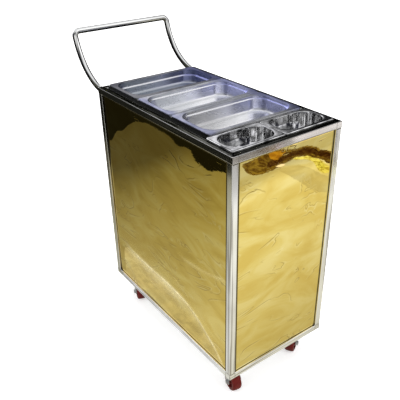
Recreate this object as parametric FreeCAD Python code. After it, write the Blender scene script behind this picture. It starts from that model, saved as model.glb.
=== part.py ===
# Buffet trolley: a gold-clad stainless cabinet on four castors, with lift-out food pans.
# Millimetres, +X towards the bowl end, +Y to the left, +Z up.
# The origin is on the floor, under the middle of the whole trolley, push handle included.
import FreeCAD, Part
import math
import os

V = FreeCAD.Vector
X_AXIS = V(1, 0, 0)
Y_AXIS = V(0, 1, 0)
Z_AXIS = V(0, 0, 1)
ORIGIN = V(0, 0, 0)

# Welded frame of square tube
FRAME_LENGTH = 686.0
FRAME_WIDTH = 380.0
FRAME_HEIGHT = 731.0
TUBE_SIDE = 20.0
TUBE_WALL = 1.2
TUBE_CORNER = 2.0

# Cladding, deck and counter, all folded from sheet
PANEL_SHEET = 1.0
PANEL_RECESS = 6.0
PANEL_FLANGE = 12.0
PANEL_BEND = 1.6
DECK_SHEET = 1.2
COUNTER_SHEET = 1.2
COUNTER_FLANGE = 12.0

# Food pans, one third size (325 x 176) in this frame, and their seat in the counter
PAN_COUNT = 3
PAN_SIDE_MARGIN = 7.5
PAN_DEPTH = 45.0
PAN_SHEET = 0.8
PAN_FLANGE = 12.5
PAN_LIP = 4.0
PAN_FLANGE_CORNER = 9.0
PAN_CORNER = 42.0
PAN_SHOULDER_DEPTH = 9.0
PAN_SHOULDER_STEP = 2.5
PAN_DRAFT = 6.5
PAN_RIM_BEND = 2.0
PAN_FLOOR_BEND = 11.0
PAN_GAP = 4.0
SEAT_HEIGHT = 6.0
SEAT_LEDGE = 7.0
SEAT_MARGIN = 1.5
REAR_GUTTER = 1.5
CROSS_BAR_WIDTH = 20.0
CROSS_BAR_HEIGHT = 16.0
CROSS_BAR_SHEET = 1.5

# Sauce bowls, one ninth size (176 x 108) in this frame, side by side on the front rail
BOWL_SIDE_MARGIN = 13.8
BOWL_RAIL_OVERLAP = 3.5
BOWL_WIDTH = 108.0
BOWL_DEPTH = 65.0
BOWL_SHEET = 0.8
BOWL_FLANGE = 12.0
BOWL_LIP = 6.0
BOWL_FLANGE_CORNER = 6.0
BOWL_CORNER = 38.0
BOWL_DRAFT = 6.0
BOWL_RIM_BEND = 2.0
BOWL_FLOOR_BEND = 20.0
BOWL_REAR_GAP = 1.0
BOWL_SPACING = 0.4
BOWL_LEDGE = 4.5
BOWL_OPENING_MARGIN = 3.0

# Push handle of bent round tube
HANDLE_DIAMETER = 19.0
HANDLE_WALL = 1.2
HANDLE_RISE = 149.0
HANDLE_SWEEP_RADIUS = 194.5
HANDLE_SWEEP_LEAD = 37.3
HANDLE_BEND_RADIUS = 17.0

# Rear door, its hinges, pull and catch
DOOR_GAP = 2.0
DOOR_SHEET = 1.0
DOOR_DEPTH = 18.0
DOOR_LIP = 14.0
DOOR_BEND = 1.6
HINGE_LENGTH = 60.0
HINGE_LEAF_WIDTH = 16.0
HINGE_LEAF_SHEET = 1.5
HINGE_KNUCKLE_RADIUS = 3.0
HINGE_PIN_RADIUS = 1.5
HINGE_KNUCKLES = 5
HINGE_KNUCKLE_GAP = 0.3
HINGE_LEAF_RELIEF = 0.5
HINGE_INSET = 95.0
PIN_HEAD_RADIUS = 2.6
PIN_HEAD_HEIGHT = 1.2
PULL_SPAN = 96.0
PULL_ROD_DIAMETER = 8.0
PULL_STAND_OFF = 28.0
PULL_BEND_RADIUS = 10.0
PULL_INSET = 34.0
CATCH_LENGTH = 46.0
CATCH_HEIGHT = 15.0
CATCH_DEPTH = 14.0
CATCH_INSET = 52.0
CATCH_GAP = 0.3
CATCH_TAB_HEIGHT = 7.0
CATCH_TAB_SHEET = 3.0
STRIKE_SHEET = 1.5
STRIKE_HEIGHT = 12.0

# Castors and the channels that carry them
CASTOR_END_INSET = 64.0
CASTOR_SIDE_INSET = 51.0
WHEEL_DIAMETER = 65.0
TREAD_WIDTH = 30.0
TREAD_THICKNESS = 8.0
TREAD_CROWN = 3.0
HUB_RADIUS = 11.0
HUB_OVERHANG = 1.0
WEB_WIDTH = 10.0
RIM_THICKNESS = 4.0
AXLE_RADIUS = 4.0
AXLE_HEAD_ACROSS_FLATS = 13.0
AXLE_HEAD_HEIGHT = 5.0
FORK_SHEET = 2.5
FORK_SIDE_PLAY = 1.0
FORK_BEND = 4.0
FORK_TOP_FRONT = 16.0
FORK_TOP_REAR = 27.0
FORK_EYE_RADIUS = 10.0
FORK_RACE_RADIUS = 20.0
FORK_RACE_HEIGHT = 8.2
PLATE_RACE_RADIUS = 23.0
PLATE_RACE_HEIGHT = 5.0
RACE_TAPER = 3.0
RACE_GAP = 0.3
WHEEL_HEADROOM = 6.0
CASTOR_TRAIL = 25.0
CASTOR_PLATE = 60.0
CASTOR_PLATE_THICKNESS = 3.0
CASTOR_PLATE_CORNER = 5.0
BOLT_SPACING = 44.0
BOLT_RADIUS = 3.0
BOLT_HOLE_RADIUS = 3.3
BOLT_ACROSS_FLATS = 10.0
BOLT_HEAD_HEIGHT = 4.0
NUT_HEIGHT = 5.0
BOLT_PROJECTION = 1.0
KINGPIN_RADIUS = 5.0
KINGPIN_HEAD_RADIUS = 9.0
KINGPIN_HEAD_HEIGHT = 4.0
BEARER_WIDTH = 76.0
BEARER_SHEET = 3.0
BEARER_BEND = 4.0
RUNNING_CLEARANCE = 0.05
OVERRUN = 5.0
TOLERANCE = 1e-6

# Heading of each castor in degrees, as the trolley was left standing
CASTOR_HEADINGS = {
    "front_left": 120.0,
    "front_right": 168.0,
    "rear_left": 135.0,
    "rear_right": 160.0,
}

# Heights
FORK_CROWN_TOP = WHEEL_DIAMETER + WHEEL_HEADROOM + FORK_SHEET
FORK_RACE_TOP = FORK_CROWN_TOP + FORK_RACE_HEIGHT
CASTOR_PLATE_BOTTOM = FORK_RACE_TOP + RACE_GAP + PLATE_RACE_HEIGHT
Z_BOTTOM = CASTOR_PLATE_BOTTOM + CASTOR_PLATE_THICKNESS
Z_TOP = Z_BOTTOM + FRAME_HEIGHT
Z_DECK = Z_BOTTOM + TUBE_SIDE - TUBE_CORNER
Z_SEAT = Z_TOP + SEAT_HEIGHT
Z_PAN = Z_SEAT + PAN_LIP
Z_BOWL = Z_TOP + BOWL_LIP

# Push handle: where the sweep of each leg starts, turns and meets the grip bar
HANDLE_RADIUS = HANDLE_DIAMETER / 2
LEG_START_Z = Z_TOP - TUBE_SIDE / 2
SWEEP_RISE = math.sqrt(HANDLE_SWEEP_RADIUS ** 2 - HANDLE_SWEEP_LEAD ** 2)
SWEEP_CENTRE_Z = LEG_START_Z + SWEEP_RISE
SWEEP_START = math.acos(HANDLE_SWEEP_LEAD / HANDLE_SWEEP_RADIUS)
SWEEP_DROP = SWEEP_CENTRE_Z - Z_TOP - HANDLE_RISE
SWEEP_END = (math.asin(SWEEP_DROP / math.hypot(HANDLE_SWEEP_RADIUS, HANDLE_BEND_RADIUS))
             + math.atan(HANDLE_BEND_RADIUS / HANDLE_SWEEP_RADIUS))
GRIP_REACH = (HANDLE_SWEEP_RADIUS * math.cos(SWEEP_END) + HANDLE_BEND_RADIUS * math.sin(SWEEP_END)
              - HANDLE_SWEEP_LEAD)
HANDLE_OVERHANG = GRIP_REACH + HANDLE_RADIUS

# Plan
X_REAR = (HANDLE_OVERHANG - FRAME_LENGTH) / 2
X_FRONT = X_REAR + FRAME_LENGTH
Y_SIDE = FRAME_WIDTH / 2
X_INNER_REAR = X_REAR + TUBE_SIDE
X_INNER_FRONT = X_FRONT - TUBE_SIDE
Y_INNER = Y_SIDE - TUBE_SIDE
INNER_LENGTH = X_INNER_FRONT - X_INNER_REAR
INNER_WIDTH = 2 * Y_INNER
POST_HEIGHT = FRAME_HEIGHT - 2 * TUBE_SIDE
Z_OPENING = Z_BOTTOM + TUBE_SIDE
BOWLS_REAR = X_INNER_FRONT + BOWL_RAIL_OVERLAP - BOWL_WIDTH
PANS_REAR = X_INNER_REAR + REAR_GUTTER + SEAT_MARGIN
PANS_LENGTH = BOWLS_REAR - BOWL_REAR_GAP - SEAT_MARGIN - PANS_REAR
PAN_WIDTH = (PANS_LENGTH - (PAN_COUNT - 1) * PAN_GAP) / PAN_COUNT
PAN_LENGTH = INNER_WIDTH - 2 * PAN_SIDE_MARGIN
BOWL_LENGTH = (FRAME_WIDTH - 2 * BOWL_SIDE_MARGIN - BOWL_SPACING) / 2
PANS_FRONT = PANS_REAR + PANS_LENGTH
SEAT_REAR = PANS_REAR - SEAT_MARGIN
SEAT_FRONT = PANS_FRONT + SEAT_MARGIN
SEAT_SIDE = PAN_LENGTH / 2 + SEAT_MARGIN
CASTOR_PLACES = {
    "front_left": (X_FRONT - CASTOR_END_INSET, Y_SIDE - CASTOR_SIDE_INSET),
    "front_right": (X_FRONT - CASTOR_END_INSET, CASTOR_SIDE_INSET - Y_SIDE),
    "rear_left": (X_REAR + CASTOR_END_INSET, Y_SIDE - CASTOR_SIDE_INSET),
    "rear_right": (X_REAR + CASTOR_END_INSET, CASTOR_SIDE_INSET - Y_SIDE),
}


def box(x_low, x_high, y_low, y_high, z_low, z_high):
    """A block between two corners."""
    return Part.makeBox(x_high - x_low, y_high - y_low, z_high - z_low, V(x_low, y_low, z_low))


def rod(radius, base, direction, length):
    """A round bar from base along direction."""
    return Part.makeCylinder(radius, length, base, direction)


def rounded_outline(x_low, x_high, y_low, y_high, radius, z=0.0):
    """A closed rectangle with round corners, flat at height z."""
    if radius <= 0:
        corners = [V(x_low, y_low, z), V(x_high, y_low, z), V(x_high, y_high, z), V(x_low, y_high, z)]
        return Part.makePolygon(corners + corners[:1])
    edges = []
    turns = [
        (x_high - radius, y_low + radius, -90),
        (x_high - radius, y_high - radius, 0),
        (x_low + radius, y_high - radius, 90),
        (x_low + radius, y_low + radius, 180),
    ]
    last = V(x_low + radius, y_low, z)
    for x, y, start in turns:
        arc = Part.makeCircle(radius, V(x, y, z), Z_AXIS, start, start + 90)
        first_point = arc.Vertexes[0].Point
        if last.distanceToPoint(first_point) > TOLERANCE:
            edges.append(Part.makeLine(last, first_point))
        edges.append(arc)
        last = arc.Vertexes[-1].Point
    home = edges[0].Vertexes[0].Point
    if last.distanceToPoint(home) > TOLERANCE:
        edges.append(Part.makeLine(last, home))
    return Part.Wire(edges)


def rounded_block(x_low, x_high, y_low, y_high, z_low, z_high, radius):
    """An upright block with round vertical corners."""
    face = Part.Face(rounded_outline(x_low, x_high, y_low, y_high, radius, z_low))
    return face.extrude(V(0, 0, z_high - z_low))


def edges_where(shape, test):
    """The edges whose middle point passes a test."""
    return [edge for edge in shape.Edges if test(edge.valueAt((edge.FirstParameter + edge.LastParameter) / 2))]


def hexagon(across_flats, height, base, direction):
    """A hexagonal prism from base along direction."""
    corner = across_flats / math.sqrt(3)
    points = [V(corner * math.cos(k * math.pi / 3), corner * math.sin(k * math.pi / 3), 0) for k in range(6)]
    prism = Part.Face(Part.makePolygon(points + points[:1])).extrude(V(0, 0, height))
    prism.Placement = FreeCAD.Placement(base, FreeCAD.Rotation(Z_AXIS, direction))
    return prism


def merged(shapes):
    """Several overlapping or touching pieces fused into one clean solid."""
    return shapes[0].multiFuse(shapes[1:]).removeSplitter()


def turned(shape, degrees, x, y):
    """A copy turned about the vertical axis and set down at x, y."""
    copy = shape.copy()
    copy.rotate(ORIGIN, Z_AXIS, degrees)
    copy.translate(V(x, y, 0))
    return copy


# Frame

def straight_tube(length):
    """Square tube along Z from the origin, centred on its own axis."""
    half = TUBE_SIDE / 2
    hollow = half - TUBE_WALL
    outside = rounded_block(-half, half, -half, half, 0, length, TUBE_CORNER)
    inside = rounded_block(-hollow, hollow, -hollow, hollow, 0, length, max(TUBE_CORNER - TUBE_WALL, 0))
    return outside.cut(inside)


def mitred_rail(length):
    """Tube along X, centred, with both ends mitred and its long side at -Y."""
    half = TUBE_SIDE / 2
    tube = straight_tube(length)
    tube.rotate(ORIGIN, Y_AXIS, 90)
    tube.translate(V(-length / 2, 0, 0))
    plan = [
        V(-length / 2, -half, -half),
        V(length / 2, -half, -half),
        V(length / 2 - TUBE_SIDE, half, -half),
        V(-length / 2 + TUBE_SIDE, half, -half),
    ]
    mitres = Part.Face(Part.makePolygon(plan + plan[:1])).extrude(V(0, 0, TUBE_SIDE))
    return tube.common(mitres)


def make_frame():
    """Four posts between a mitred top ring and a mitred bottom ring."""
    parts = {}
    half = TUBE_SIDE / 2
    middle = (X_REAR + X_FRONT) / 2
    post = straight_tube(POST_HEIGHT)
    for end, x in (("front", X_FRONT - half), ("rear", X_REAR + half)):
        for side, y in (("left", Y_SIDE - half), ("right", half - Y_SIDE)):
            placed = turned(post, 0, x, y)
            placed.translate(V(0, 0, Z_OPENING))
            parts["frame_post_" + end + "_" + side] = placed
    long_rail = mitred_rail(FRAME_LENGTH)
    short_rail = mitred_rail(FRAME_WIDTH)
    places = {
        "right": (long_rail, 0, middle, half - Y_SIDE),
        "left": (long_rail, 180, middle, Y_SIDE - half),
        "front": (short_rail, 90, X_FRONT - half, 0),
        "rear": (short_rail, -90, X_REAR + half, 0),
    }
    for level, z in (("bottom", Z_BOTTOM + half), ("top", Z_TOP - half)):
        for side, (rail, angle, x, y) in places.items():
            placed = turned(rail, angle, x, y)
            placed.translate(V(0, 0, z))
            parts["frame_" + level + "_rail_" + side] = placed
    return parts


# Cladding

def folded_tray(width, height, depth, sheet, bend):
    """A sheet folded back at all four edges: its face is on Y zero, centred on X, up from Z zero."""
    half = width / 2
    outside = box(-half, half, 0, depth, 0, height)
    inside = box(-half + sheet, half - sheet, sheet, depth + OVERRUN, sheet, height - sheet)
    outside = outside.makeFillet(bend, edges_where(outside, lambda point: abs(point.y) < sheet / 2))
    inner_bend = bend - sheet
    if inner_bend > 0:
        floor_edges = edges_where(inside, lambda point: abs(point.y - sheet) < sheet / 2)
        inside = inside.makeFillet(inner_bend, floor_edges)
    return outside.cut(inside)


def make_panels():
    """Two long side panels and the front panel, let into the frame's openings."""
    middle = (X_REAR + X_FRONT) / 2
    side = folded_tray(INNER_LENGTH, POST_HEIGHT, PANEL_FLANGE, PANEL_SHEET, PANEL_BEND)
    end = folded_tray(INNER_WIDTH, POST_HEIGHT, PANEL_FLANGE, PANEL_SHEET, PANEL_BEND)
    parts = {
        "side_panel_right": turned(side, 0, middle, PANEL_RECESS - Y_SIDE),
        "side_panel_left": turned(side, 180, middle, Y_SIDE - PANEL_RECESS),
        "front_panel": turned(end, 90, X_FRONT - PANEL_RECESS, 0),
    }
    for panel in parts.values():
        panel.translate(V(0, 0, Z_OPENING))
    return parts


def make_deck():
    """The storage deck lies on the castor channels, between the bottom rails."""
    return box(X_INNER_REAR, X_INNER_FRONT, -Y_INNER, Y_INNER, Z_DECK - DECK_SHEET, Z_DECK)


# Counter and its pans

def make_counter():
    """The counter sheet closes the top ring: a raised seat round the pans and an opening for the bowls."""
    skin = Z_TOP - COUNTER_SHEET
    skirt = box(X_INNER_REAR, X_INNER_FRONT, -Y_INNER, Y_INNER, Z_TOP - COUNTER_FLANGE, Z_TOP)
    under = box(X_INNER_REAR + COUNTER_SHEET, X_INNER_FRONT - COUNTER_SHEET,
                COUNTER_SHEET - Y_INNER, Y_INNER - COUNTER_SHEET, Z_TOP - COUNTER_FLANGE - OVERRUN, skin)
    raised = box(SEAT_REAR, SEAT_FRONT, -SEAT_SIDE, SEAT_SIDE, skin, Z_SEAT)
    under_raised = box(SEAT_REAR + COUNTER_SHEET, SEAT_FRONT - COUNTER_SHEET,
                       COUNTER_SHEET - SEAT_SIDE, SEAT_SIDE - COUNTER_SHEET,
                       skin - OVERRUN, Z_SEAT - COUNTER_SHEET)
    ledge = SEAT_MARGIN + SEAT_LEDGE
    pans = box(SEAT_REAR + ledge, SEAT_FRONT - ledge, ledge - SEAT_SIDE, SEAT_SIDE - ledge,
               skin - OVERRUN, Z_SEAT + OVERRUN)
    bowls = box(BOWLS_REAR + BOWL_LEDGE, X_INNER_FRONT - BOWL_LEDGE,
                BOWL_OPENING_MARGIN - Y_INNER, Y_INNER - BOWL_OPENING_MARGIN,
                skin - OVERRUN, Z_TOP + OVERRUN)
    return skirt.cut(under).fuse(raised).cut(under_raised).cut(pans).cut(bowls).removeSplitter()


def make_cross_bars():
    """Folded channels across the counter, one under each joint between two pans."""
    parts = {}
    half = CROSS_BAR_WIDTH / 2
    reach = PAN_LENGTH / 2 - SEAT_LEDGE
    names = ["cross_bar_rear", "cross_bar_front"]
    for number, name in enumerate(names):
        x = PANS_REAR + (number + 1) * PAN_WIDTH + (number + 0.5) * PAN_GAP
        bar = box(x - half, x + half, -reach, reach, Z_SEAT - CROSS_BAR_HEIGHT, Z_SEAT)
        inside = box(x - half + CROSS_BAR_SHEET, x + half - CROSS_BAR_SHEET, -reach, reach,
                     Z_SEAT - CROSS_BAR_HEIGHT, Z_SEAT - CROSS_BAR_SHEET)
        parts[name] = bar.cut(inside)
    return parts


def tapered_cavity(half_x, half_y, corner, top, floor, draft, bend):
    """A tub that narrows by draft on each side from top to floor, with a round floor edge."""
    upper = rounded_outline(-half_x, half_x, -half_y, half_y, corner, top)
    lower = rounded_outline(draft - half_x, half_x - draft, draft - half_y, half_y - draft,
                            corner - draft, floor)
    tub = Part.makeLoft([upper, lower], True, True)
    return tub.makeFillet(bend, edges_where(tub, lambda point: abs(point.z - floor) < bend / 100))


def drawn_container(half_x, half_y, sheet, flange, lip, flange_corner, corner, shoulder_depth,
                    shoulder_step, draft, rim_bend, floor_bend, depth):
    """A drawn container with a flat flange on Z zero, a lip turned down all round and a round-cornered tub."""
    mouth_x = half_x - flange
    mouth_y = half_y - flange
    lip_block = rounded_block(-half_x, half_x, -half_y, half_y, -lip, 0, flange_corner)
    lip_hollow = rounded_block(sheet - half_x, half_x - sheet, sheet - half_y, half_y - sheet,
                               -lip, -sheet, flange_corner - sheet)
    outside = [lip_block.cut(lip_hollow)]
    inside = []
    if shoulder_depth > 0:
        outside.append(rounded_block(-mouth_x - sheet, mouth_x + sheet, -mouth_y - sheet, mouth_y + sheet,
                                     -shoulder_depth - sheet, 0, corner + sheet))
        inside.append(rounded_block(-mouth_x, mouth_x, -mouth_y, mouth_y, -shoulder_depth, 0, corner))
    tub_x = mouth_x - shoulder_step
    tub_y = mouth_y - shoulder_step
    tub_corner = corner - shoulder_step
    outside.append(tapered_cavity(tub_x + sheet, tub_y + sheet, tub_corner + sheet,
                                  0, -depth - sheet, draft, floor_bend + sheet))
    inside.append(tapered_cavity(tub_x, tub_y, tub_corner, 0, -depth, draft, floor_bend))
    body = merged(outside)
    under_flange = edges_where(body, lambda point: abs(point.z + sheet) < sheet / 10
                               and abs(point.x) < half_x - flange / 2 and abs(point.y) < half_y - flange / 2)
    body = body.makeFillet(rim_bend - sheet, under_flange)
    body = body.cut(merged(inside) if len(inside) > 1 else inside[0])
    mouth = edges_where(body, lambda point: abs(point.z) < sheet / 10
                        and abs(point.x) < half_x - flange / 2 and abs(point.y) < half_y - flange / 2)
    return body.makeFillet(rim_bend, mouth)


def make_pans():
    """Three one third size pans side by side across the trolley, hung by their flanges."""
    pan = drawn_container(PAN_WIDTH / 2, PAN_LENGTH / 2, PAN_SHEET, PAN_FLANGE, PAN_LIP, PAN_FLANGE_CORNER,
                          PAN_CORNER, PAN_SHOULDER_DEPTH, PAN_SHOULDER_STEP, PAN_DRAFT, PAN_RIM_BEND,
                          PAN_FLOOR_BEND, PAN_DEPTH)
    parts = {}
    names = ["food_pan_rear", "food_pan_middle", "food_pan_front"]
    for number, name in enumerate(names):
        placed = pan.copy()
        placed.translate(V(PANS_REAR + PAN_WIDTH / 2 + number * (PAN_WIDTH + PAN_GAP), 0, Z_PAN))
        parts[name] = placed
    return parts


def make_bowls():
    """Two one ninth size sauce bowls, whose deep lips stand on the top rails."""
    bowl = drawn_container(BOWL_WIDTH / 2, BOWL_LENGTH / 2, BOWL_SHEET, BOWL_FLANGE, BOWL_LIP,
                           BOWL_FLANGE_CORNER, BOWL_CORNER, 0.0, 0.0, BOWL_DRAFT, BOWL_RIM_BEND,
                           BOWL_FLOOR_BEND, BOWL_DEPTH)
    parts = {}
    for name, side in (("sauce_bowl_left", 1), ("sauce_bowl_right", -1)):
        placed = bowl.copy()
        placed.translate(V(BOWLS_REAR + BOWL_WIDTH / 2, side * (BOWL_LENGTH + BOWL_SPACING) / 2, Z_BOWL))
        parts[name] = placed
    return parts


# Push handle

def sweep_point(angle):
    """A point on the arc of a leg, where angle is counted from the level of the arc's centre."""
    return V(X_REAR + HANDLE_SWEEP_LEAD - HANDLE_SWEEP_RADIUS * math.cos(angle), 0,
             SWEEP_CENTRE_Z - HANDLE_SWEEP_RADIUS * math.sin(angle))


def handle_solid(radius):
    """A solid bar along the handle's line: leg, bend, grip bar, bend and leg."""
    leg_y = Y_SIDE - TUBE_SIDE / 2
    inner = SWEEP_START + OVERRUN / HANDLE_SWEEP_RADIUS
    middle = (inner + SWEEP_END) / 2
    tangent = V(-math.sin(SWEEP_END), 0, math.cos(SWEEP_END))
    turn = sweep_point(SWEEP_END)
    slant = HANDLE_BEND_RADIUS / math.sqrt(2)

    def bend(side):
        start = turn + V(0, side * leg_y, 0)
        centre = start - V(0, side * HANDLE_BEND_RADIUS, 0)
        half_way = centre + tangent * slant + V(0, side * slant, 0)
        end = centre + tangent * HANDLE_BEND_RADIUS
        return start, half_way, end

    left = bend(1)
    right = bend(-1)
    across = V(0, leg_y, 0)
    path = Part.Wire([
        Part.Arc(sweep_point(inner) + across, sweep_point(middle) + across, left[0]).toShape(),
        Part.Arc(*left).toShape(),
        Part.makeLine(left[2], right[2]),
        Part.Arc(right[2], right[1], right[0]).toShape(),
        Part.Arc(right[0], sweep_point(middle) - across, sweep_point(inner) - across).toShape(),
    ])
    start_direction = V(-math.sin(inner), 0, math.cos(inner))
    circle = Part.Wire(Part.makeCircle(radius, sweep_point(inner) + across, start_direction))
    return path.makePipeShell([circle], True, False)


def make_push_handle():
    """One tube, bent to shape and welded by its two ends to the rear of the top ring."""
    tube = handle_solid(HANDLE_RADIUS).cut(handle_solid(HANDLE_RADIUS - HANDLE_WALL))
    inside_frame = box(X_REAR, X_FRONT, -FRAME_WIDTH, FRAME_WIDTH, Z_BOTTOM, Z_TOP + HANDLE_RISE)
    return tube.cut(inside_frame)


# Rear door

DOOR_WIDTH = INNER_WIDTH - 2 * DOOR_GAP
DOOR_HEIGHT = POST_HEIGHT - 2 * DOOR_GAP
Z_DOOR = Z_OPENING + DOOR_GAP
HINGE_Y = Y_INNER - DOOR_GAP / 2
HINGE_X = X_REAR - HINGE_KNUCKLE_RADIUS
KNUCKLE_LENGTH = HINGE_LENGTH / HINGE_KNUCKLES
HINGE_BASES = {
    "lower": Z_OPENING + HINGE_INSET - HINGE_LENGTH / 2,
    "upper": Z_OPENING + POST_HEIGHT - HINGE_INSET - HINGE_LENGTH / 2,
}


def make_door():
    """A box-folded sheet with an inner lip all round, flush with the rear of the frame."""
    tray = folded_tray(DOOR_WIDTH, DOOR_HEIGHT, DOOR_DEPTH, DOOR_SHEET, DOOR_BEND)
    half = DOOR_WIDTH / 2
    back = box(-half, half, DOOR_DEPTH - DOOR_SHEET, DOOR_DEPTH, 0, DOOR_HEIGHT)
    opening = box(-half + DOOR_LIP, half - DOOR_LIP, 0, DOOR_DEPTH + OVERRUN,
                  DOOR_LIP, DOOR_HEIGHT - DOOR_LIP)
    door = merged([tray, back.cut(opening)])
    door = turned(door, -90, X_REAR, 0)
    door.translate(V(0, 0, Z_DOOR))
    return door


def hinge_leaf(base, side, numbers):
    """A leaf on one side of the hinge line (+1 frame, -1 door), with its own knuckles."""
    start = HINGE_KNUCKLE_RADIUS + HINGE_LEAF_RELIEF
    near = HINGE_Y + side * start
    far = HINGE_Y + side * HINGE_LEAF_WIDTH
    face = X_REAR - HINGE_LEAF_SHEET
    shapes = [box(face, X_REAR, min(near, far), max(near, far), base, base + HINGE_LENGTH)]
    for number in numbers:
        low = base + number * KNUCKLE_LENGTH + HINGE_KNUCKLE_GAP / 2
        high = base + (number + 1) * KNUCKLE_LENGTH - HINGE_KNUCKLE_GAP / 2
        tongue = sorted((HINGE_Y, near))
        shapes.append(box(face, X_REAR, tongue[0], tongue[1], low, high))
        shapes.append(rod(HINGE_KNUCKLE_RADIUS, V(HINGE_X, HINGE_Y, low), Z_AXIS, high - low))
    bore = rod(HINGE_PIN_RADIUS + RUNNING_CLEARANCE, V(HINGE_X, HINGE_Y, base - OVERRUN), Z_AXIS,
               HINGE_LENGTH + 2 * OVERRUN)
    return merged(shapes).cut(bore)


def hinge_pin(base):
    """A loose pin through all the knuckles, with a round head above and below."""
    shank = rod(HINGE_PIN_RADIUS, V(HINGE_X, HINGE_Y, base), Z_AXIS, HINGE_LENGTH)
    lower = rod(PIN_HEAD_RADIUS, V(HINGE_X, HINGE_Y, base - PIN_HEAD_HEIGHT), Z_AXIS, PIN_HEAD_HEIGHT)
    upper = rod(PIN_HEAD_RADIUS, V(HINGE_X, HINGE_Y, base + HINGE_LENGTH), Z_AXIS, PIN_HEAD_HEIGHT)
    return merged([shank, lower, upper])


def make_hinges():
    """Two butt hinges between the left rear post and the door."""
    parts = {}
    frame_knuckles = range(0, HINGE_KNUCKLES, 2)
    door_knuckles = range(1, HINGE_KNUCKLES, 2)
    for level, base in HINGE_BASES.items():
        parts["hinge_frame_leaf_" + level] = hinge_leaf(base, 1, frame_knuckles)
        parts["hinge_door_leaf_" + level] = hinge_leaf(base, -1, door_knuckles)
        parts["hinge_pin_" + level] = hinge_pin(base)
    return parts


def make_door_pull():
    """A bow of round bar on the free side of the door."""
    radius = PULL_ROD_DIAMETER / 2
    y = PULL_INSET - DOOR_WIDTH / 2
    z_low = Z_DOOR + (DOOR_HEIGHT - PULL_SPAN) / 2
    z_high = z_low + PULL_SPAN
    x_out = X_REAR - PULL_STAND_OFF + radius
    corner = PULL_BEND_RADIUS
    slant = corner - corner / math.sqrt(2)
    path = Part.Wire([
        Part.makeLine(V(X_REAR, y, z_low), V(x_out + corner, y, z_low)),
        Part.Arc(V(x_out + corner, y, z_low), V(x_out + slant, y, z_low + slant),
                 V(x_out, y, z_low + corner)).toShape(),
        Part.makeLine(V(x_out, y, z_low + corner), V(x_out, y, z_high - corner)),
        Part.Arc(V(x_out, y, z_high - corner), V(x_out + slant, y, z_high - slant),
                 V(x_out + corner, y, z_high)).toShape(),
        Part.makeLine(V(x_out + corner, y, z_high), V(X_REAR, y, z_high)),
    ])
    circle = Part.Wire(Part.makeCircle(radius, V(X_REAR, y, z_low), X_AXIS))
    return path.makePipeShell([circle], True, False)


def make_catch():
    """A magnetic catch hung from the rear top rail and its strike plate on the door's upper lip."""
    y_low = CATCH_INSET - DOOR_WIDTH / 2 - CATCH_LENGTH / 2
    y_high = y_low + CATCH_LENGTH
    lip = X_REAR + DOOR_DEPTH
    door_top = Z_DOOR + DOOR_HEIGHT
    rail_under = Z_TOP - TUBE_SIDE
    strike = box(lip, lip + STRIKE_SHEET, y_low, y_high, door_top - STRIKE_HEIGHT, door_top)
    face = lip + STRIKE_SHEET + CATCH_GAP
    magnet = box(face, face + CATCH_DEPTH, y_low, y_high, rail_under - CATCH_HEIGHT, rail_under)
    tab = box(X_INNER_REAR, max(face, X_INNER_REAR) + CATCH_TAB_SHEET, y_low, y_high,
              rail_under, rail_under + CATCH_TAB_HEIGHT)
    return {"door_catch": merged([magnet, tab]), "door_strike": strike}


# Castors

def make_bearer(x):
    """A channel across the bottom ring, web down, that carries two castors and the deck."""
    half = BEARER_WIDTH / 2
    top = Z_DECK - DECK_SHEET
    outside = box(x - half, x + half, -Y_INNER, Y_INNER, Z_BOTTOM, top)
    outside = outside.makeFillet(BEARER_BEND, edges_where(
        outside, lambda point: abs(point.z - Z_BOTTOM) < BEARER_SHEET / 2 and abs(point.y) < Y_INNER / 2))
    inside = box(x - half + BEARER_SHEET, x + half - BEARER_SHEET, -Y_INNER, Y_INNER,
                 Z_BOTTOM + BEARER_SHEET, top)
    channel = outside.cut(inside)
    for side in (1, -1):
        for hole_x, hole_y in bolt_places(x, side * (Y_SIDE - CASTOR_SIDE_INSET)):
            channel = channel.cut(rod(BOLT_HOLE_RADIUS, V(hole_x, hole_y, Z_BOTTOM - OVERRUN), Z_AXIS,
                                      BEARER_SHEET + 2 * OVERRUN))
    return channel


def bolt_places(x, y):
    """The four bolts round a castor at x, y."""
    half = BOLT_SPACING / 2
    return [(x + dx, y + dy) for dx in (-half, half) for dy in (-half, half)]


def make_castor_plate(x, y):
    """The top plate with its pressed upper ball race."""
    half = CASTOR_PLATE / 2
    plate = rounded_block(x - half, x + half, y - half, y + half, CASTOR_PLATE_BOTTOM, Z_BOTTOM,
                          CASTOR_PLATE_CORNER)
    for hole_x, hole_y in bolt_places(x, y):
        plate = plate.cut(rod(BOLT_HOLE_RADIUS, V(hole_x, hole_y, CASTOR_PLATE_BOTTOM - OVERRUN), Z_AXIS,
                              CASTOR_PLATE_THICKNESS + 2 * OVERRUN))
    race = Part.makeCone(PLATE_RACE_RADIUS - RACE_TAPER, PLATE_RACE_RADIUS, PLATE_RACE_HEIGHT,
                         V(x, y, CASTOR_PLATE_BOTTOM - PLATE_RACE_HEIGHT), Z_AXIS)
    bore = rod(KINGPIN_RADIUS, V(x, y, CASTOR_PLATE_BOTTOM - PLATE_RACE_HEIGHT - OVERRUN), Z_AXIS,
               PLATE_RACE_HEIGHT + CASTOR_PLATE_THICKNESS + 2 * OVERRUN)
    return merged([plate, race]).cut(bore)


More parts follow.
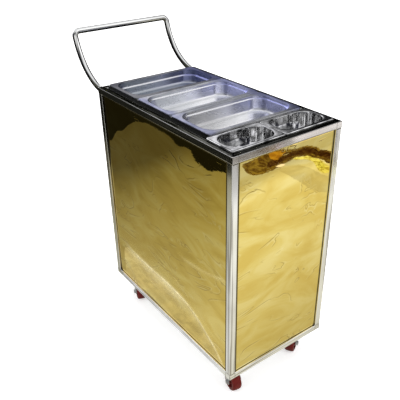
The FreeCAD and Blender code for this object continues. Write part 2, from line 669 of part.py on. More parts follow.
def make_kingpin(x, y):
    """The rivet that the fork turns on: a wide head under the crown, the shank closed into the plate."""
    head_top = FORK_CROWN_TOP - FORK_SHEET - RACE_GAP
    head = rod(KINGPIN_HEAD_RADIUS, V(x, y, head_top - KINGPIN_HEAD_HEIGHT), Z_AXIS, KINGPIN_HEAD_HEIGHT)
    shank = rod(KINGPIN_RADIUS, V(x, y, head_top), Z_AXIS, Z_BOTTOM - head_top)
    return merged([head, shank])


def make_bolt(x, y):
    """A castor bolt from below, with its nut on the channel's web."""
    head = hexagon(BOLT_ACROSS_FLATS, BOLT_HEAD_HEIGHT, V(x, y, CASTOR_PLATE_BOTTOM - BOLT_HEAD_HEIGHT), Z_AXIS)
    web_top = Z_BOTTOM + BEARER_SHEET
    shank_length = web_top + NUT_HEIGHT + BOLT_PROJECTION - CASTOR_PLATE_BOTTOM
    shank = rod(BOLT_RADIUS, V(x, y, CASTOR_PLATE_BOTTOM), Z_AXIS, shank_length)
    nut = hexagon(BOLT_ACROSS_FLATS, NUT_HEIGHT, V(x, y, web_top), Z_AXIS)
    nut = nut.cut(rod(BOLT_RADIUS, V(x, y, web_top), Z_AXIS, NUT_HEIGHT))
    return [merged([head, shank]), nut]


def fork_outline(reach):
    """The side outline of the fork, from its crown down to the eye round the axle."""
    eye = V(-CASTOR_TRAIL, 0, WHEEL_DIAMETER / 2)
    points = [V(-FORK_TOP_REAR, 0, FORK_CROWN_TOP)]
    points.append(tangent_point(points[0], eye, -1))
    points.append(tangent_point(V(FORK_TOP_FRONT, 0, FORK_CROWN_TOP), eye, 1))
    points.append(V(FORK_TOP_FRONT, 0, FORK_CROWN_TOP))
    side = Part.Face(Part.makePolygon(points + points[:1])).extrude(V(0, 2 * reach, 0))
    side.translate(V(0, -reach, 0))
    boss = rod(FORK_EYE_RADIUS, eye - V(0, reach, 0), Y_AXIS, 2 * reach)
    return merged([side, boss])


def tangent_point(point, eye, side):
    """Where a line from a point above touches the fork's eye, on its front (+1) or rear (-1)."""
    away = point - eye
    distance = away.Length
    bearing = math.atan2(away.z, away.x)
    spread = math.acos(FORK_EYE_RADIUS / distance)
    angle = bearing - side * spread
    return eye + V(FORK_EYE_RADIUS * math.cos(angle), 0, FORK_EYE_RADIUS * math.sin(angle))


def make_fork():
    """A pressed fork with the lower ball race on its crown, its swivel axis on the origin."""
    inner = TREAD_WIDTH / 2 + HUB_OVERHANG + FORK_SIDE_PLAY
    outer = inner + FORK_SHEET
    crown_under = FORK_CROWN_TOP - FORK_SHEET
    rear = CASTOR_TRAIL + FORK_EYE_RADIUS + OVERRUN
    channel = box(-rear, FORK_TOP_FRONT, -outer, outer, 0, FORK_CROWN_TOP)
    channel = channel.makeFillet(FORK_BEND, edges_where(
        channel, lambda point: abs(point.z - FORK_CROWN_TOP) < FORK_SHEET / 2 and abs(point.y) > inner))
    hollow = box(-rear - OVERRUN, FORK_TOP_FRONT + OVERRUN, -inner, inner, -OVERRUN, crown_under)
    fork = channel.cut(hollow).common(fork_outline(outer))
    race = Part.makeCone(FORK_RACE_RADIUS, FORK_RACE_RADIUS - RACE_TAPER, FORK_RACE_HEIGHT,
                         V(0, 0, FORK_CROWN_TOP), Z_AXIS)
    fork = merged([fork, race])
    fork = fork.cut(rod(KINGPIN_RADIUS + RUNNING_CLEARANCE, V(0, 0, crown_under - OVERRUN), Z_AXIS,
                        FORK_SHEET + FORK_RACE_HEIGHT + 2 * OVERRUN))
    eye = V(-CASTOR_TRAIL, -outer - OVERRUN, WHEEL_DIAMETER / 2)
    return fork.cut(rod(AXLE_RADIUS + RUNNING_CLEARANCE, eye, Y_AXIS, 2 * (outer + OVERRUN)))


def make_axle():
    """The axle bolt through both fork legs and the wheel, with its nut."""
    outer = TREAD_WIDTH / 2 + HUB_OVERHANG + FORK_SIDE_PLAY + FORK_SHEET
    centre = V(-CASTOR_TRAIL, 0, WHEEL_DIAMETER / 2)
    nut_face = centre + V(0, outer, 0)
    head_face = centre - V(0, outer + AXLE_HEAD_HEIGHT, 0)
    head = hexagon(AXLE_HEAD_ACROSS_FLATS, AXLE_HEAD_HEIGHT, head_face, Y_AXIS)
    shank = rod(AXLE_RADIUS, centre - V(0, outer, 0), Y_AXIS, 2 * outer + AXLE_HEAD_HEIGHT + BOLT_PROJECTION)
    nut = hexagon(AXLE_HEAD_ACROSS_FLATS, AXLE_HEAD_HEIGHT, nut_face, Y_AXIS)
    nut = nut.cut(rod(AXLE_RADIUS, nut_face, Y_AXIS, AXLE_HEAD_HEIGHT))
    return Part.makeCompound([merged([head, shank]), nut])


def revolved(profile):
    """A profile of (radius, offset) points turned about the axle line."""
    points = [V(radius, offset, 0) for radius, offset in profile]
    solid = Part.Face(Part.makePolygon(points + points[:1])).revolve(ORIGIN, Y_AXIS, 360)
    solid.translate(V(-CASTOR_TRAIL, 0, WHEEL_DIAMETER / 2))
    return solid


def make_wheel_core():
    """The moulded core: hub, web and rim on a plain bore."""
    bore = AXLE_RADIUS + RUNNING_CLEARANCE
    rim = WHEEL_DIAMETER / 2 - TREAD_THICKNESS
    hub = TREAD_WIDTH / 2 + HUB_OVERHANG
    web = WEB_WIDTH / 2
    edge = TREAD_WIDTH / 2
    half_profile = [(HUB_RADIUS, hub), (HUB_RADIUS, web), (rim - RIM_THICKNESS, web),
                    (rim - RIM_THICKNESS, edge), (rim, edge)]
    mirrored = [(radius, -offset) for radius, offset in reversed(half_profile)]
    return revolved([(bore, hub)] + half_profile + mirrored + [(bore, -hub)])


def make_tread():
    """The soft tread, with rounded shoulders, moulded on the rim."""
    outer = WHEEL_DIAMETER / 2
    rim = outer - TREAD_THICKNESS
    edge = TREAD_WIDTH / 2
    ring = revolved([(rim, edge), (outer, edge), (outer, -edge), (rim, -edge)])
    shoulders = [line for line in ring.Edges if line.Closed and line.Curve.Radius > (rim + outer) / 2]
    return ring.makeFillet(TREAD_CROWN, shoulders)


def make_castors():
    """Four castors: plates and rivets fixed, forks swivelling, wheels turning."""
    parts = {}
    kingpins = []
    bolts = []
    moving = {
        "castor_fork_": make_fork(),
        "castor_axle_": make_axle(),
        "wheel_core_": make_wheel_core(),
        "wheel_tread_": make_tread(),
    }
    for corner, (x, y) in CASTOR_PLACES.items():
        parts["castor_plate_" + corner] = make_castor_plate(x, y)
        kingpins.append(make_kingpin(x, y))
        for bolt_x, bolt_y in bolt_places(x, y):
            bolts.extend(make_bolt(bolt_x, bolt_y))
        for name, shape in moving.items():
            parts[name + corner] = turned(shape, CASTOR_HEADINGS[corner], x, y)
    parts["castor_kingpins"] = Part.makeCompound(kingpins)
    parts["castor_bolts"] = Part.makeCompound(bolts)
    return parts


def make_trolley():
    """Every node of the trolley by name."""
    parts = make_frame()
    parts.update(make_panels())
    parts["deck"] = make_deck()
    parts["counter"] = make_counter()
    parts.update(make_cross_bars())
    parts.update(make_pans())
    parts.update(make_bowls())
    parts["push_handle"] = make_push_handle()
    parts["rear_door"] = make_door()
    parts.update(make_hinges())
    parts["door_pull"] = make_door_pull()
    parts.update(make_catch())
    parts["castor_bearer_front"] = make_bearer(X_FRONT - CASTOR_END_INSET)
    parts["castor_bearer_rear"] = make_bearer(X_REAR + CASTOR_END_INSET)
    parts.update(make_castors())
    return parts


os.makedirs("parts", exist_ok=True)
for node, solid in make_trolley().items():
    solid.exportStep("parts/" + node + ".step")
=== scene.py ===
# Buffet trolley: gold mirror cladding, steel tube, lift-out pans and bowls, four red castors.
# Metres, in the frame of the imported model: +X towards the bowls, +Y to the left, +Z up, floor at zero.
import bpy
import math
import numpy as np
from mathutils import Matrix, Vector


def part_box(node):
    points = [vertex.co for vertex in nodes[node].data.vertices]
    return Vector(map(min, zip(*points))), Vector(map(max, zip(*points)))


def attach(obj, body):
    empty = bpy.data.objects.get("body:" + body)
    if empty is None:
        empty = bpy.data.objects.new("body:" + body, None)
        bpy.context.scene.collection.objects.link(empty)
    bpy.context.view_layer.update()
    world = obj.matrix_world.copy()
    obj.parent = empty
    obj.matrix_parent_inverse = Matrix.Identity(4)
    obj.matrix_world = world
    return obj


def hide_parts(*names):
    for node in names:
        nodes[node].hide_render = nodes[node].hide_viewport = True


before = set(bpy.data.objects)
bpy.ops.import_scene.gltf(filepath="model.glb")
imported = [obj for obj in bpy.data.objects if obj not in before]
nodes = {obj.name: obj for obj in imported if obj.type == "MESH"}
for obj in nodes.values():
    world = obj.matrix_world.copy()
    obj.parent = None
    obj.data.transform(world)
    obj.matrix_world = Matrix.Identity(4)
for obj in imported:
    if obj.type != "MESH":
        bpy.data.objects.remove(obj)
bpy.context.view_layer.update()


# Camera
# One view, level with the bowls' corner and looking down on the counter. Its place, turn and lens
# come from the corners of the welded frame in the photograph.
turn, rise, tilt = (math.radians(angle) for angle in (54.49098, 29.18758, -1.18472))
back = Vector((math.sin(turn) * math.cos(rise), -math.cos(turn) * math.cos(rise), math.sin(rise)))
level = Vector((math.cos(turn), math.sin(turn), 0))
upward = back.cross(level)
right = math.cos(tilt) * level + math.sin(tilt) * upward
top = math.cos(tilt) * upward - math.sin(tilt) * level
camera = bpy.data.objects.new("photo_camera", bpy.data.cameras.new("photo_camera"))
camera.data.sensor_width = 36
camera.data.lens = 49.6
camera.matrix_world = Matrix.Translation((1.332704, -0.932549, 1.363283)) @ Matrix(
    (right, top, back)).transposed().to_4x4()
bpy.context.scene.collection.objects.link(camera)
bpy.context.scene.camera = camera
bpy.context.scene.view_settings.view_transform = "Standard"


# Studio
# A white floor in a white surround. The polished metal mirrors a sheet of floor that fades away from
# the trolley, dark ground past the sheet's edge, coloured cards that lie on it, and a room with
# soft windows and a dark far side.
class Shader:
    """A new material or world with an empty node tree, and short ways to add what recurs."""

    def __init__(self, name, kind="Material"):
        self.kind = kind
        self.owner = (bpy.data.worlds if kind == "World" else bpy.data.materials).new(name)
        self.owner.use_nodes = True
        self.tree = self.owner.node_tree
        self.tree.nodes.clear()

    def add(self, kind, inputs=None, **settings):
        """A node with its settings. An input given a socket is linked, any other value is set."""
        node = self.tree.nodes.new("ShaderNode" + kind)
        for key, value in settings.items():
            setattr(node, key, value)
        for key, value in (inputs or {}).items():
            if isinstance(value, bpy.types.NodeSocket):
                self.tree.links.new(value, node.inputs[key])
            else:
                node.inputs[key].default_value = value
        return node

    def place(self):
        return self.add("TexCoord").outputs["Object"]

    def axes(self, vector):
        return self.add("SeparateXYZ", {"Vector": vector}).outputs

    def stretched(self, place, scale, shift=(0.0, 0.0, 0.0)):
        return self.add("Mapping", {"Vector": place, "Scale": scale, "Location": shift}).outputs[0]

    def dot(self, vector, towards):
        return self.add("VectorMath", {0: vector, 1: towards}, operation="DOT_PRODUCT").outputs["Value"]

    def maths(self, kind, *values):
        return self.add("Math", dict(enumerate(values)), operation=kind).outputs[0]

    def noise(self, place, scale, detail, distortion=0.0, roughness=0.5):
        inputs = {"Vector": place, "Scale": scale, "Detail": detail, "Roughness": roughness}
        return self.add("TexNoise", {**inputs, "Distortion": distortion}).outputs["Fac"]

    def span(self, value, start, end, low=0.0, high=1.0):
        """Low up to where the value is start, high from where it is end, and even in between."""
        inputs = {"Value": value, "From Min": start, "From Max": end, "To Min": low, "To Max": high}
        return self.add("MapRange", inputs).outputs[0]

    def mixed(self, factor, first, second, blend="MIX"):
        """Two colours mixed, each a socket or (red, green, blue)."""
        inputs = {"Factor": factor}
        for key, shade in (("A", first), ("B", second)):
            inputs[key] = shade if isinstance(shade, bpy.types.NodeSocket) else (*shade, 1)
        return self.add("Mix", inputs, data_type="RGBA", blend_type=blend).outputs["Result"]

    def ramp(self, factor, stops):
        """A colour ramp through (position, colour) stops, read at factor."""
        node = self.add("ValToRGB", {"Fac": factor})
        elements = node.color_ramp.elements
        while len(elements) < len(stops):
            elements.new(0.5)
        for element, (position, colour) in zip(elements, stops):
            element.position = position
            element.color = (*colour, 1)
        return node.outputs["Color"]

    def close(self, shader):
        """Links a shader to the output and returns the finished material or world."""
        self.tree.links.new(shader.outputs[0], self.add("Output" + self.kind).inputs["Surface"])
        return self.owner

    def by_ray(self, plain, mirrored, seen):
        """Closes with one shader for soft light, one for mirrors and one for the camera."""
        rays = self.add("LightPath").outputs
        bounced = {0: rays["Is Glossy Ray"], 1: plain.outputs[0], 2: mirrored.outputs[0]}
        bounced = self.add("MixShader", bounced).outputs[0]
        return self.close(self.add("MixShader", {0: rays["Is Camera Ray"], 1: bounced, 2: seen.outputs[0]}))


sky = Shader("white_surround", "World")
white = (1, 1, 1, 1)
direction = sky.add("TexCoord").outputs["Generated"]
side_light = sky.span(sky.dot(direction, (0.814, -0.581, 0.0)), -1.0, 1.0)
walls = sky.ramp(side_light, [
    (0.0, (0.022, 0.023, 0.026)), (0.55, (0.03, 0.03, 0.034)), (0.72, (0.10, 0.10, 0.105)),
    (0.84, (0.28, 0.28, 0.285)), (0.93, (0.80, 0.80, 0.80)), (1.0, (0.85, 0.85, 0.85))])
low_part = sky.span(sky.axes(direction)["Z"], 0.30, 0.62, 1.0, 0.10)
room = sky.add("VectorMath", {0: walls, "Scale": low_part}, operation="SCALE").outputs[0]
# Each window: where it stands, the cosines of its soft edge and its even core, and its light.
for towards, edge, core, light in [
        ((-0.53, -0.82, 0.20), 0.60, 0.92, (0.08, 0.085, 0.12)),
        ((-0.93, 0.03, 0.36), 0.91, 0.96, (1.7, 1.7, 1.8)),
        ((-0.66, -0.55, 0.51), 0.93, 0.975, (1.6, 1.6, 1.65)),
        ((-0.81, 0.41, 0.42), 0.945, 0.982, (2.1, 2.1, 2.15)),
        ((0.57, 0.46, 0.68), 0.80, 0.93, (1.22, 1.22, 1.24)),
        ((0.0, 0.0, 1.0), 0.62, 0.90, (0.85, 0.86, 0.88))]:
    room = sky.mixed(sky.span(sky.dot(direction, towards), edge, core), room, light)
plain = sky.add("Background", {"Color": white, "Strength": 0.62})
mirrored = sky.add("Background", {"Color": room, "Strength": 1.0})
seen = sky.add("Background", {"Color": white, "Strength": 1.0})
bpy.context.scene.world = sky.by_ray(plain, mirrored, seen)


def flat_stage(name, corners, height, material, glossy_only):
    """A flat stage piece: one polygon through (x, y) corners at a height."""
    mesh = bpy.data.meshes.new(name)
    mesh.from_pydata([(x, y, height) for x, y in corners], [], [list(range(len(corners)))])
    mesh.materials.append(material)
    piece = bpy.data.objects.new(name, mesh)
    bpy.context.scene.collection.objects.link(piece)
    if glossy_only:
        piece.visible_camera = piece.visible_diffuse = piece.visible_shadow = False


floor_paint = Shader("studio_floor")
spot = floor_paint.place()
along = floor_paint.dot(spot, (1.0, -0.12, 0.0))
falloff = floor_paint.ramp(floor_paint.span(along, -2.0, 1.5), [
    (0.10, (0.09, 0.085, 0.06)), (0.245, (0.10, 0.092, 0.062)), (0.275, (0.15, 0.14, 0.095)),
    (0.32, (0.25, 0.24, 0.165)), (0.40, (0.36, 0.345, 0.25)), (0.48, (0.445, 0.435, 0.345)),
    (0.56, (0.56, 0.56, 0.51)), (0.61, (0.66, 0.66, 0.62)), (0.655, (0.66, 0.66, 0.63)),
    (0.70, (0.60, 0.58, 0.48)), (0.755, (0.73, 0.705, 0.59)), (0.825, (0.88, 0.875, 0.80)),
    (0.90, (0.92, 0.91, 0.80)), (0.93, (1.0, 1.0, 0.96)), (0.97, (0.62, 0.62, 0.61))])
lit = floor_paint.add("BsdfDiffuse", {"Color": (0.90, 0.90, 0.90, 1)})
reach = floor_paint.add("VectorMath", {0: spot, 1: (0.1, 0.0, 0.0)}, operation="DISTANCE").outputs["Value"]
lift = floor_paint.add("Emission", {"Color": white, "Strength": floor_paint.span(reach, 0.5, 1.5, 0.52, 1.0)})
seen = floor_paint.add("AddShader", {0: lit.outputs[0], 1: lift.outputs[0]})
mirrored = floor_paint.add("Emission", {"Color": falloff, "Strength": 1.1})
flat_stage("floor", [(-30, -30), (30, -30), (30, 30), (-30, 30)], 0.0,
           floor_paint.by_ray(lit, mirrored, seen), False)


def smooth_outline(points, steps=6):
    """A closed curve through the points: each span between two of them is the Catmull-Rom cubic,
    which leaves each point along the line that joins its neighbours."""
    here = np.array(points, float)
    before, after, later = np.roll(here, 1, 0), np.roll(here, -1, 0), np.roll(here, -2, 0)
    s = (np.arange(steps) / steps)[None, :, None]
    curve = 0.5 * (2 * here[:, None] + (after - before)[:, None] * s
                   + (2 * before - 5 * here + 4 * after - later)[:, None] * s ** 2
                   + (3 * here - before - 3 * after + later)[:, None] * s ** 3)
    return curve.reshape(-1, 2)


def reflection_card(name, outline, height, colour, other=None, grain=9.0):
    """A card lying on the floor that only mirrors see, in one colour or in two mixed by noise."""
    paint = Shader(name)
    patches = paint.noise(paint.place(), grain, 3.0, 1.5)
    shade = paint.ramp(patches, [(0.42, colour), (0.62, other or colour)])
    glow = paint.close(paint.add("Emission", {"Color": shade, "Strength": 1.0}))
    flat_stage(name, smooth_outline(outline).tolist(), height, glow, True)


reflection_card("dark_ground_card", [
    (1.9, -3.2), (1.0, -2.2), (0.4, -1.6), (0.05, -1.33), (-0.4, -1.22), (-0.75, -1.15), (-0.89, -1.11),
    (-1.02, -1.09), (-1.19, -1.16), (-1.31, -1.15), (-1.44, -1.19), (-1.7, -1.2), (-1.76, -1.18),
    (-1.79, -1.13), (-1.74, -1.03), (-1.66, -0.88), (-1.6, -0.76), (-2.0, -0.7), (-3.2, -0.9),
    (-3.4, -1.8), (-2.6, -2.6), (0.6, -3.3)],
    0.004, (0.012, 0.012, 0.009))
reflection_card("grey_ground_card", [
    (1.98, -0.3), (2.00, 0.9), (2.02, 2.1), (1.2, 2.9), (-0.4, 3.4), (1.5, 6), (6, 4), (6, -0.9),
    (3.2, -0.5)], 0.004, (0.09, 0.09, 0.088))
reflection_card("shaded_ground_card", [
    (-0.95, 0.36), (-0.3, 0.34), (0.1, 0.42), (0.3, 0.9), (0.25, 1.8), (-0.6, 2.4), (-2.2, 2.6),
    (-3.4, 1.2), (-2.0, 0.5)], 0.005, (0.05, 0.052, 0.045))
reflection_card("pale_ground_card", [
    (-0.5, -0.33), (-0.464, -0.338), (-0.362, -0.345), (-0.259, -0.347), (-0.125, -0.352), (0.033, -0.33),
    (0.2, -0.286), (0.3, -0.25), (0.33, -0.2), (0.0, -0.17), (-0.22, -0.19), (-0.38, -0.27)], 0.005,
    (0.62, 0.62, 0.61), (0.76, 0.76, 0.75), 14.0)
reflection_card("pale_edge_card", [
    (-0.43, -0.33), (-0.362, -0.352), (-0.259, -0.35), (-0.125, -0.355), (0.033, -0.334), (0.2, -0.29),
    (0.3, -0.252), (0.19, -0.276), (0.03, -0.316), (-0.125, -0.338), (-0.259, -0.334), (-0.362, -0.334)],
    0.007, (1.05, 1.05, 1.0))
reflection_card("far_brown_card", [
    (1.735, 0.84), (1.735, 1.1), (1.745, 1.3), (1.76, 1.4), (1.95, 1.42), (1.93, 1.3), (1.92, 0.84)],
    0.004, (0.05, 0.035, 0.02), (0.46, 0.42, 0.38), 7.0)
reflection_card("far_pale_card", [
    (1.745, 1.3), (1.74, 1.7), (1.76, 1.95), (1.95, 1.95), (1.93, 1.36)], 0.0035,
    (1.1, 1.01, 0.98), (1.4, 1.34, 1.32), 9.0)
reflection_card("brown_card", [
    (1.68, 0.917), (1.69, 0.989), (1.7, 1.084), (1.713, 1.174), (1.715, 1.231), (1.69, 1.253),
    (1.66, 1.309), (1.642, 1.404), (1.588, 1.441), (1.512, 1.447), (1.463, 1.432), (1.331, 1.31),
    (1.38, 1.315), (1.43, 1.335), (1.483, 1.325), (1.547, 1.29), (1.558, 1.236), (1.54, 1.185),
    (1.524, 1.116), (1.51, 1.064), (1.501, 1.005), (1.505, 0.959), (1.508, 0.913), (1.52, 0.862),
    (1.564, 0.85), (1.632, 0.88)], 0.005,
    (0.1, 0.05, 0.012), (0.34, 0.24, 0.06), 22.0)
reflection_card("dark_brown_card", [
    (1.645, 1.26), (1.63, 1.312), (1.628, 1.39), (1.57, 1.423), (1.499, 1.425), (1.448, 1.412),
    (1.394, 1.352), (1.45, 1.372), (1.516, 1.365), (1.57, 1.337), (1.575, 1.273), (1.58, 1.2),
    (1.565, 1.12), (1.565, 1.064), (1.586, 1.019), (1.638, 1.079), (1.635, 1.18)], 0.006,
    (0.045, 0.016, 0.006), (0.12, 0.06, 0.02), 30.0)
reflection_card("orange_card", [
    (1.705, 1.15), (1.69, 1.205), (1.66, 1.24), (1.638, 1.172), (1.616, 1.125), (1.657, 1.11)], 0.007,
    (0.66, 0.36, 0.04), (0.4, 0.18, 0.02), 18.0)
reflection_card("yellow_loop_card", [
    (1.554, 1.204), (1.549, 1.247), (1.539, 1.298), (1.485, 1.319), (1.441, 1.32), (1.378, 1.3),
    (1.317, 1.257), (1.294, 1.202), (1.328, 1.192), (1.381, 1.209), (1.427, 1.238), (1.473, 1.251),
    (1.515, 1.226), (1.53, 1.188)],
    0.007, (1.2, 1.22, 0.55), (0.62, 0.52, 0.1), 26.0)
reflection_card("loop_core_card", [
    (1.441, 1.293), (1.408, 1.298), (1.349, 1.268), (1.322, 1.233), (1.354, 1.227), (1.405, 1.248)], 0.008,
    (1.25, 1.3, 0.4), (0.45, 0.36, 0.05), 40.0)
reflection_card("loop_shade_card", [
    (1.492, 1.086), (1.42, 1.143), (1.3, 1.18), (1.2, 1.18), (1.147, 1.048), (1.232, 1.014), (1.371, 1.006),
    (1.463, 1.02)], 0.004, (0.8, 0.78, 0.7), (0.92, 0.91, 0.86), 7.0)
reflection_card("pale_spot_card", [
    (1.5, 1.05), (1.535, 1.05), (1.54, 1.09), (1.505, 1.1)], 0.009, (1.35, 1.25, 1.5))
reflection_card("pale_spot_card_far", [
    (1.715, 1.23), (1.745, 1.22), (1.755, 1.265), (1.72, 1.27)], 0.009, (1.35, 1.15, 1.3))


def soft_lamp(name, place, target, width, depth, power):
    """A rectangular soft box that faces a target point."""
    data = bpy.data.lights.new(name, "AREA")
    data.shape = "RECTANGLE"
    data.size, data.size_y, data.energy = width, depth, power
    lamp = bpy.data.objects.new(name, data)
    lamp.location = place
    lamp.rotation_euler = (Vector(target) - Vector(place)).to_track_quat("-Z", "Y").to_euler()
    lamp.visible_glossy = False
    bpy.context.scene.collection.objects.link(lamp)


soft_lamp("lamp_overhead", (0.1, 0.1, 2.9), (0, 0, 0.8), 1.6, 0.9, 38)
soft_lamp("lamp_camera_left", (-0.4, -2.6, 1.9), (0, 0, 0.5), 1.2, 1.2, 22)
soft_lamp("lamp_camera_right", (2.7, 0.9, 1.8), (0, 0, 0.5), 1.2, 1.2, 24)


# Welded frame
# Twelve lengths of 20 mm square stainless tube, mirror-polished along their length. The rings are
# mitred and the posts butt between them; every joint is welded, ground back and buffed.
def surface(paint, tone, gloss, relief, strength, distance, more):
    """Closes with one surface: colour, roughness, bump from a relief, and what else it needs."""
    bump = paint.add("Bump", {"Height": relief, "Strength": strength, "Distance": distance}).outputs[0]
    inputs = {"Base Color": tone, "Roughness": gloss, "Normal": bump, **more}
    return paint.close(paint.add("BsdfPrincipled", inputs))


def metal(name, colour, shade, roughness, grain, depth, patches=4.0, satin_painted_dark=None, joints=(), streak=None,
          painted_shade=None, shade_margin=None):
    """Polished metal with a fine grain. Grain noise, stretched by the given scale, sets a small
    bump and the roughness between its two limits; broad noise shifts the tone towards the shade.
    A streak colour darkens drawn-out lines of a coarser grain. Above the height of a satin zone,
    (height, extra, shade, colour, glance), the roughness is higher by extra, the grain mixes the
    zone's own two tones, which are painted dark as a painted reflection, and glance tints what it
    mirrors at a low angle. Faces that lie in a joint's plane, (axis, place), are stained dark. A
    painted shade colour is laid on as strongly as the mesh's attribute of painted shade says, and
    a painted shade margin, (start, end, colour), takes over along Y."""
    paint = Shader(name)
    place = paint.place()
    axes = paint.axes(place)
    fine = paint.noise(paint.stretched(place, grain), 1.0, 4.0, roughness=0.6)
    tone = paint.ramp(paint.noise(place, patches, 3.0, 0.6), [(0.30, shade), (0.62, colour)])
    gloss = paint.span(fine, 0.3, 0.7, *roughness)
    glance = white
    if streak:
        coarse = paint.stretched(place, [0.34 * scale for scale in grain])
        lines = paint.ramp(paint.noise(coarse, 1.0, 2.0), [(0.36, streak), (0.44, (1, 1, 1))])
        tone = paint.mixed(1.0, tone, lines, "MULTIPLY")
    if satin_painted_dark:
        # The zone's dark tones are a painted reflection, and glance can dim what it mirrors.
        height, extra, painted_dark_shade, painted_dark_colour, tint = satin_painted_dark
        zone = paint.span(axes["Z"], height - 0.0008, height + 0.0004)
        gloss = paint.maths("MULTIPLY_ADD", zone, extra, gloss)
        tone = paint.mixed(zone, tone, paint.ramp(fine, [(0.42, painted_dark_shade), (0.60, painted_dark_colour)]))
        glance = paint.mixed(zone, (1, 1, 1), (tint, tint, tint))
    if joints:
        nearest = 1.0
        for axis, plane in joints:
            off = paint.maths("ABSOLUTE", paint.maths("SUBTRACT", axes[axis], plane))
            nearest = paint.maths("MINIMUM", off, nearest)
        stain_and_shade = paint.span(nearest, 0.0004, 0.0010, 0.9, 0.0)
        tone = paint.mixed(stain_and_shade, tone, (0.07, 0.065, 0.05))
        gloss = paint.maths("MULTIPLY_ADD", stain_and_shade, 0.35, gloss)
    # Painted shade, laid on as strongly as the mesh's attribute says.
    if painted_shade:
        tone = paint.mixed(paint.add("Attribute", attribute_name="painted_shade").outputs["Fac"], tone, painted_shade)
    # A painted shade along one side.
    if shade_margin:
        start, end, shade_margin_colour = shade_margin
        tone = paint.mixed(paint.span(axes["Y"], start, end), tone, shade_margin_colour)
    return surface(paint, tone, gloss, fine, depth, 0.0004, {"Metallic": 1.0, "Specular Tint": glance})


def dress(material, *names):
    """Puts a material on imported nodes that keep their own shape."""
    for name in names:
        slots = nodes[name].data.materials
        slots.clear()
        slots.append(material)


def lay(mesh, attribute, values):
    """Writes a value for each vertex into an attribute, which a material reads."""
    mesh.attributes.new(attribute, "FLOAT", "POINT").data.foreach_set("value", values)


ring_low, ring_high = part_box("frame_top_rail_right")
x_rear, x_front = ring_low.x, ring_high.x
y_side = -ring_low.y
tube = 0.020
z_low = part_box("frame_bottom_rail_right")[0].z
z_high = ring_high.z
tube_tone, tube_shade = (0.95, 0.945, 0.93), (0.66, 0.64, 0.61)
ring_joints = [("Z", z_low + tube), ("Z", z_high - tube)]
long_joints = [("X", x_rear + tube), ("X", x_front - tube)]
cross_joints = [("Y", y_side - tube), ("Y", tube - y_side)]
# The rail tops are painted near black, a painted dark reflection, and they dim what they mirror.
rail_top_painted_dark = (z_high - 0.0006, 0.08, (0.05, 0.05, 0.045), (0.20, 0.20, 0.19), 0.08)
dull_line = (0.52, 0.50, 0.48)
# The upright tube takes a painted shade where its mesh says.
upright_tube = metal("tube_polished_upright", tube_tone, tube_shade, (0.06, 0.14), (420, 420, 9), 0.07,
                     joints=ring_joints, streak=dull_line, painted_shade=(0.03, 0.03, 0.022))
long_tube = metal("tube_polished_long", tube_tone, tube_shade, (0.06, 0.12), (9, 420, 420), 0.05,
                  satin_painted_dark=rail_top_painted_dark, joints=long_joints, streak=dull_line)
cross_tube = metal("tube_polished_cross", tube_tone, tube_shade, (0.06, 0.14), (420, 9, 420), 0.07,
                   satin_painted_dark=rail_top_painted_dark, joints=cross_joints, streak=dull_line)
corners = [end + "_" + side for end in ("front", "rear") for side in ("left", "right")]
dress(upright_tube, *["frame_post_" + corner for corner in corners])
for ring in ("top", "bottom"):
    dress(long_tube, *["frame_%s_rail_%s" % (ring, side) for side in ("left", "right")])
    dress(cross_tube, *["frame_%s_rail_%s" % (ring, end) for end in ("front", "rear")])

# Painted shade: the rear right post is painted dark on its forward face, more so higher up.
post = nodes["frame_post_rear_right"].data
normals, points = np.empty((len(post.polygons), 3)), np.empty((len(post.vertices), 3))
triangles = np.empty((len(post.polygons), 3), np.int32)
post.polygons.foreach_get("normal", normals.ravel())
post.polygons.foreach_get("vertices", triangles.ravel())
post.vertices.foreach_get("co", points.ravel())
inward = triangles[normals[:, 0] > 0.9].ravel()
post_shade = np.zeros(len(post.vertices))
post_shade[inward] = 2.5 * (points[inward, 2] - z_low) / (z_high - z_low) - 0.9
lay(post, "painted_shade", post_shade)


def build(name, points, faces, material, body, smooth=40):
    """A mesh piece from points and faces, smooth-shaded up to an angle, that rides on a body."""
    mesh = bpy.data.meshes.new(name)
    mesh.from_pydata(np.asarray(points).reshape(-1, 3).tolist(), [], [list(face) for face in faces])
    mesh.validate()
    mesh.polygons.foreach_set("use_smooth", np.ones(len(mesh.polygons), bool))
    mesh.set_sharp_from_angle(angle=math.radians(smooth))
    mesh.materials.append(material)
    piece = bpy.data.objects.new(name, mesh)
    bpy.context.scene.collection.objects.link(piece)
    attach(piece, body)
    return piece


def grid_faces(rows, columns, close_rows=False, close_columns=False):
    """Quads of a grid of points stored row by row; either way round may be closed on itself."""
    r, c = np.indices((rows - (not close_rows), columns - (not close_columns))).reshape(2, -1)
    r2, c2 = (r + 1) % rows, (c + 1) % columns
    return np.stack([r * columns + c, r * columns + c2, r2 * columns + c2, r2 * columns + c], axis=1)


def corner_rounds(steps):
    """Unit arcs round the four corners of a rectangle, and the signs of the corner each is at."""
    angle = np.concatenate([np.linspace(0, math.pi / 2, steps) + k * math.pi / 2 for k in range(4)])
    signs = np.repeat(np.array([(1, 1), (-1, 1), (-1, -1), (1, -1)], float), steps, axis=0)
    return np.stack([np.cos(angle), np.sin(angle)], axis=1), signs


def square_section(side, radius, steps):
    """A square with round corners: points (p, q) and the outward normals there, once round."""
    normal, signs = corner_rounds(steps)
    return (side / 2 - radius) * signs + radius * normal, normal


def bead(line, out, along, proud, width, size):
    """A weld bead on a closed line: each point becomes an ellipse, proud of the metal and as wide as
    the run, scaled by the size there. Returns points and faces."""
    around = 10
    turn = np.linspace(0, 2 * math.pi, around, endpoint=False)[None, :, None]
    ellipse = proud * np.cos(turn) * out[:, None] + width * np.sin(turn) * along
    return line[:, None] + size[:, None, None] * ellipse, grid_faces(len(line), around, True, True)


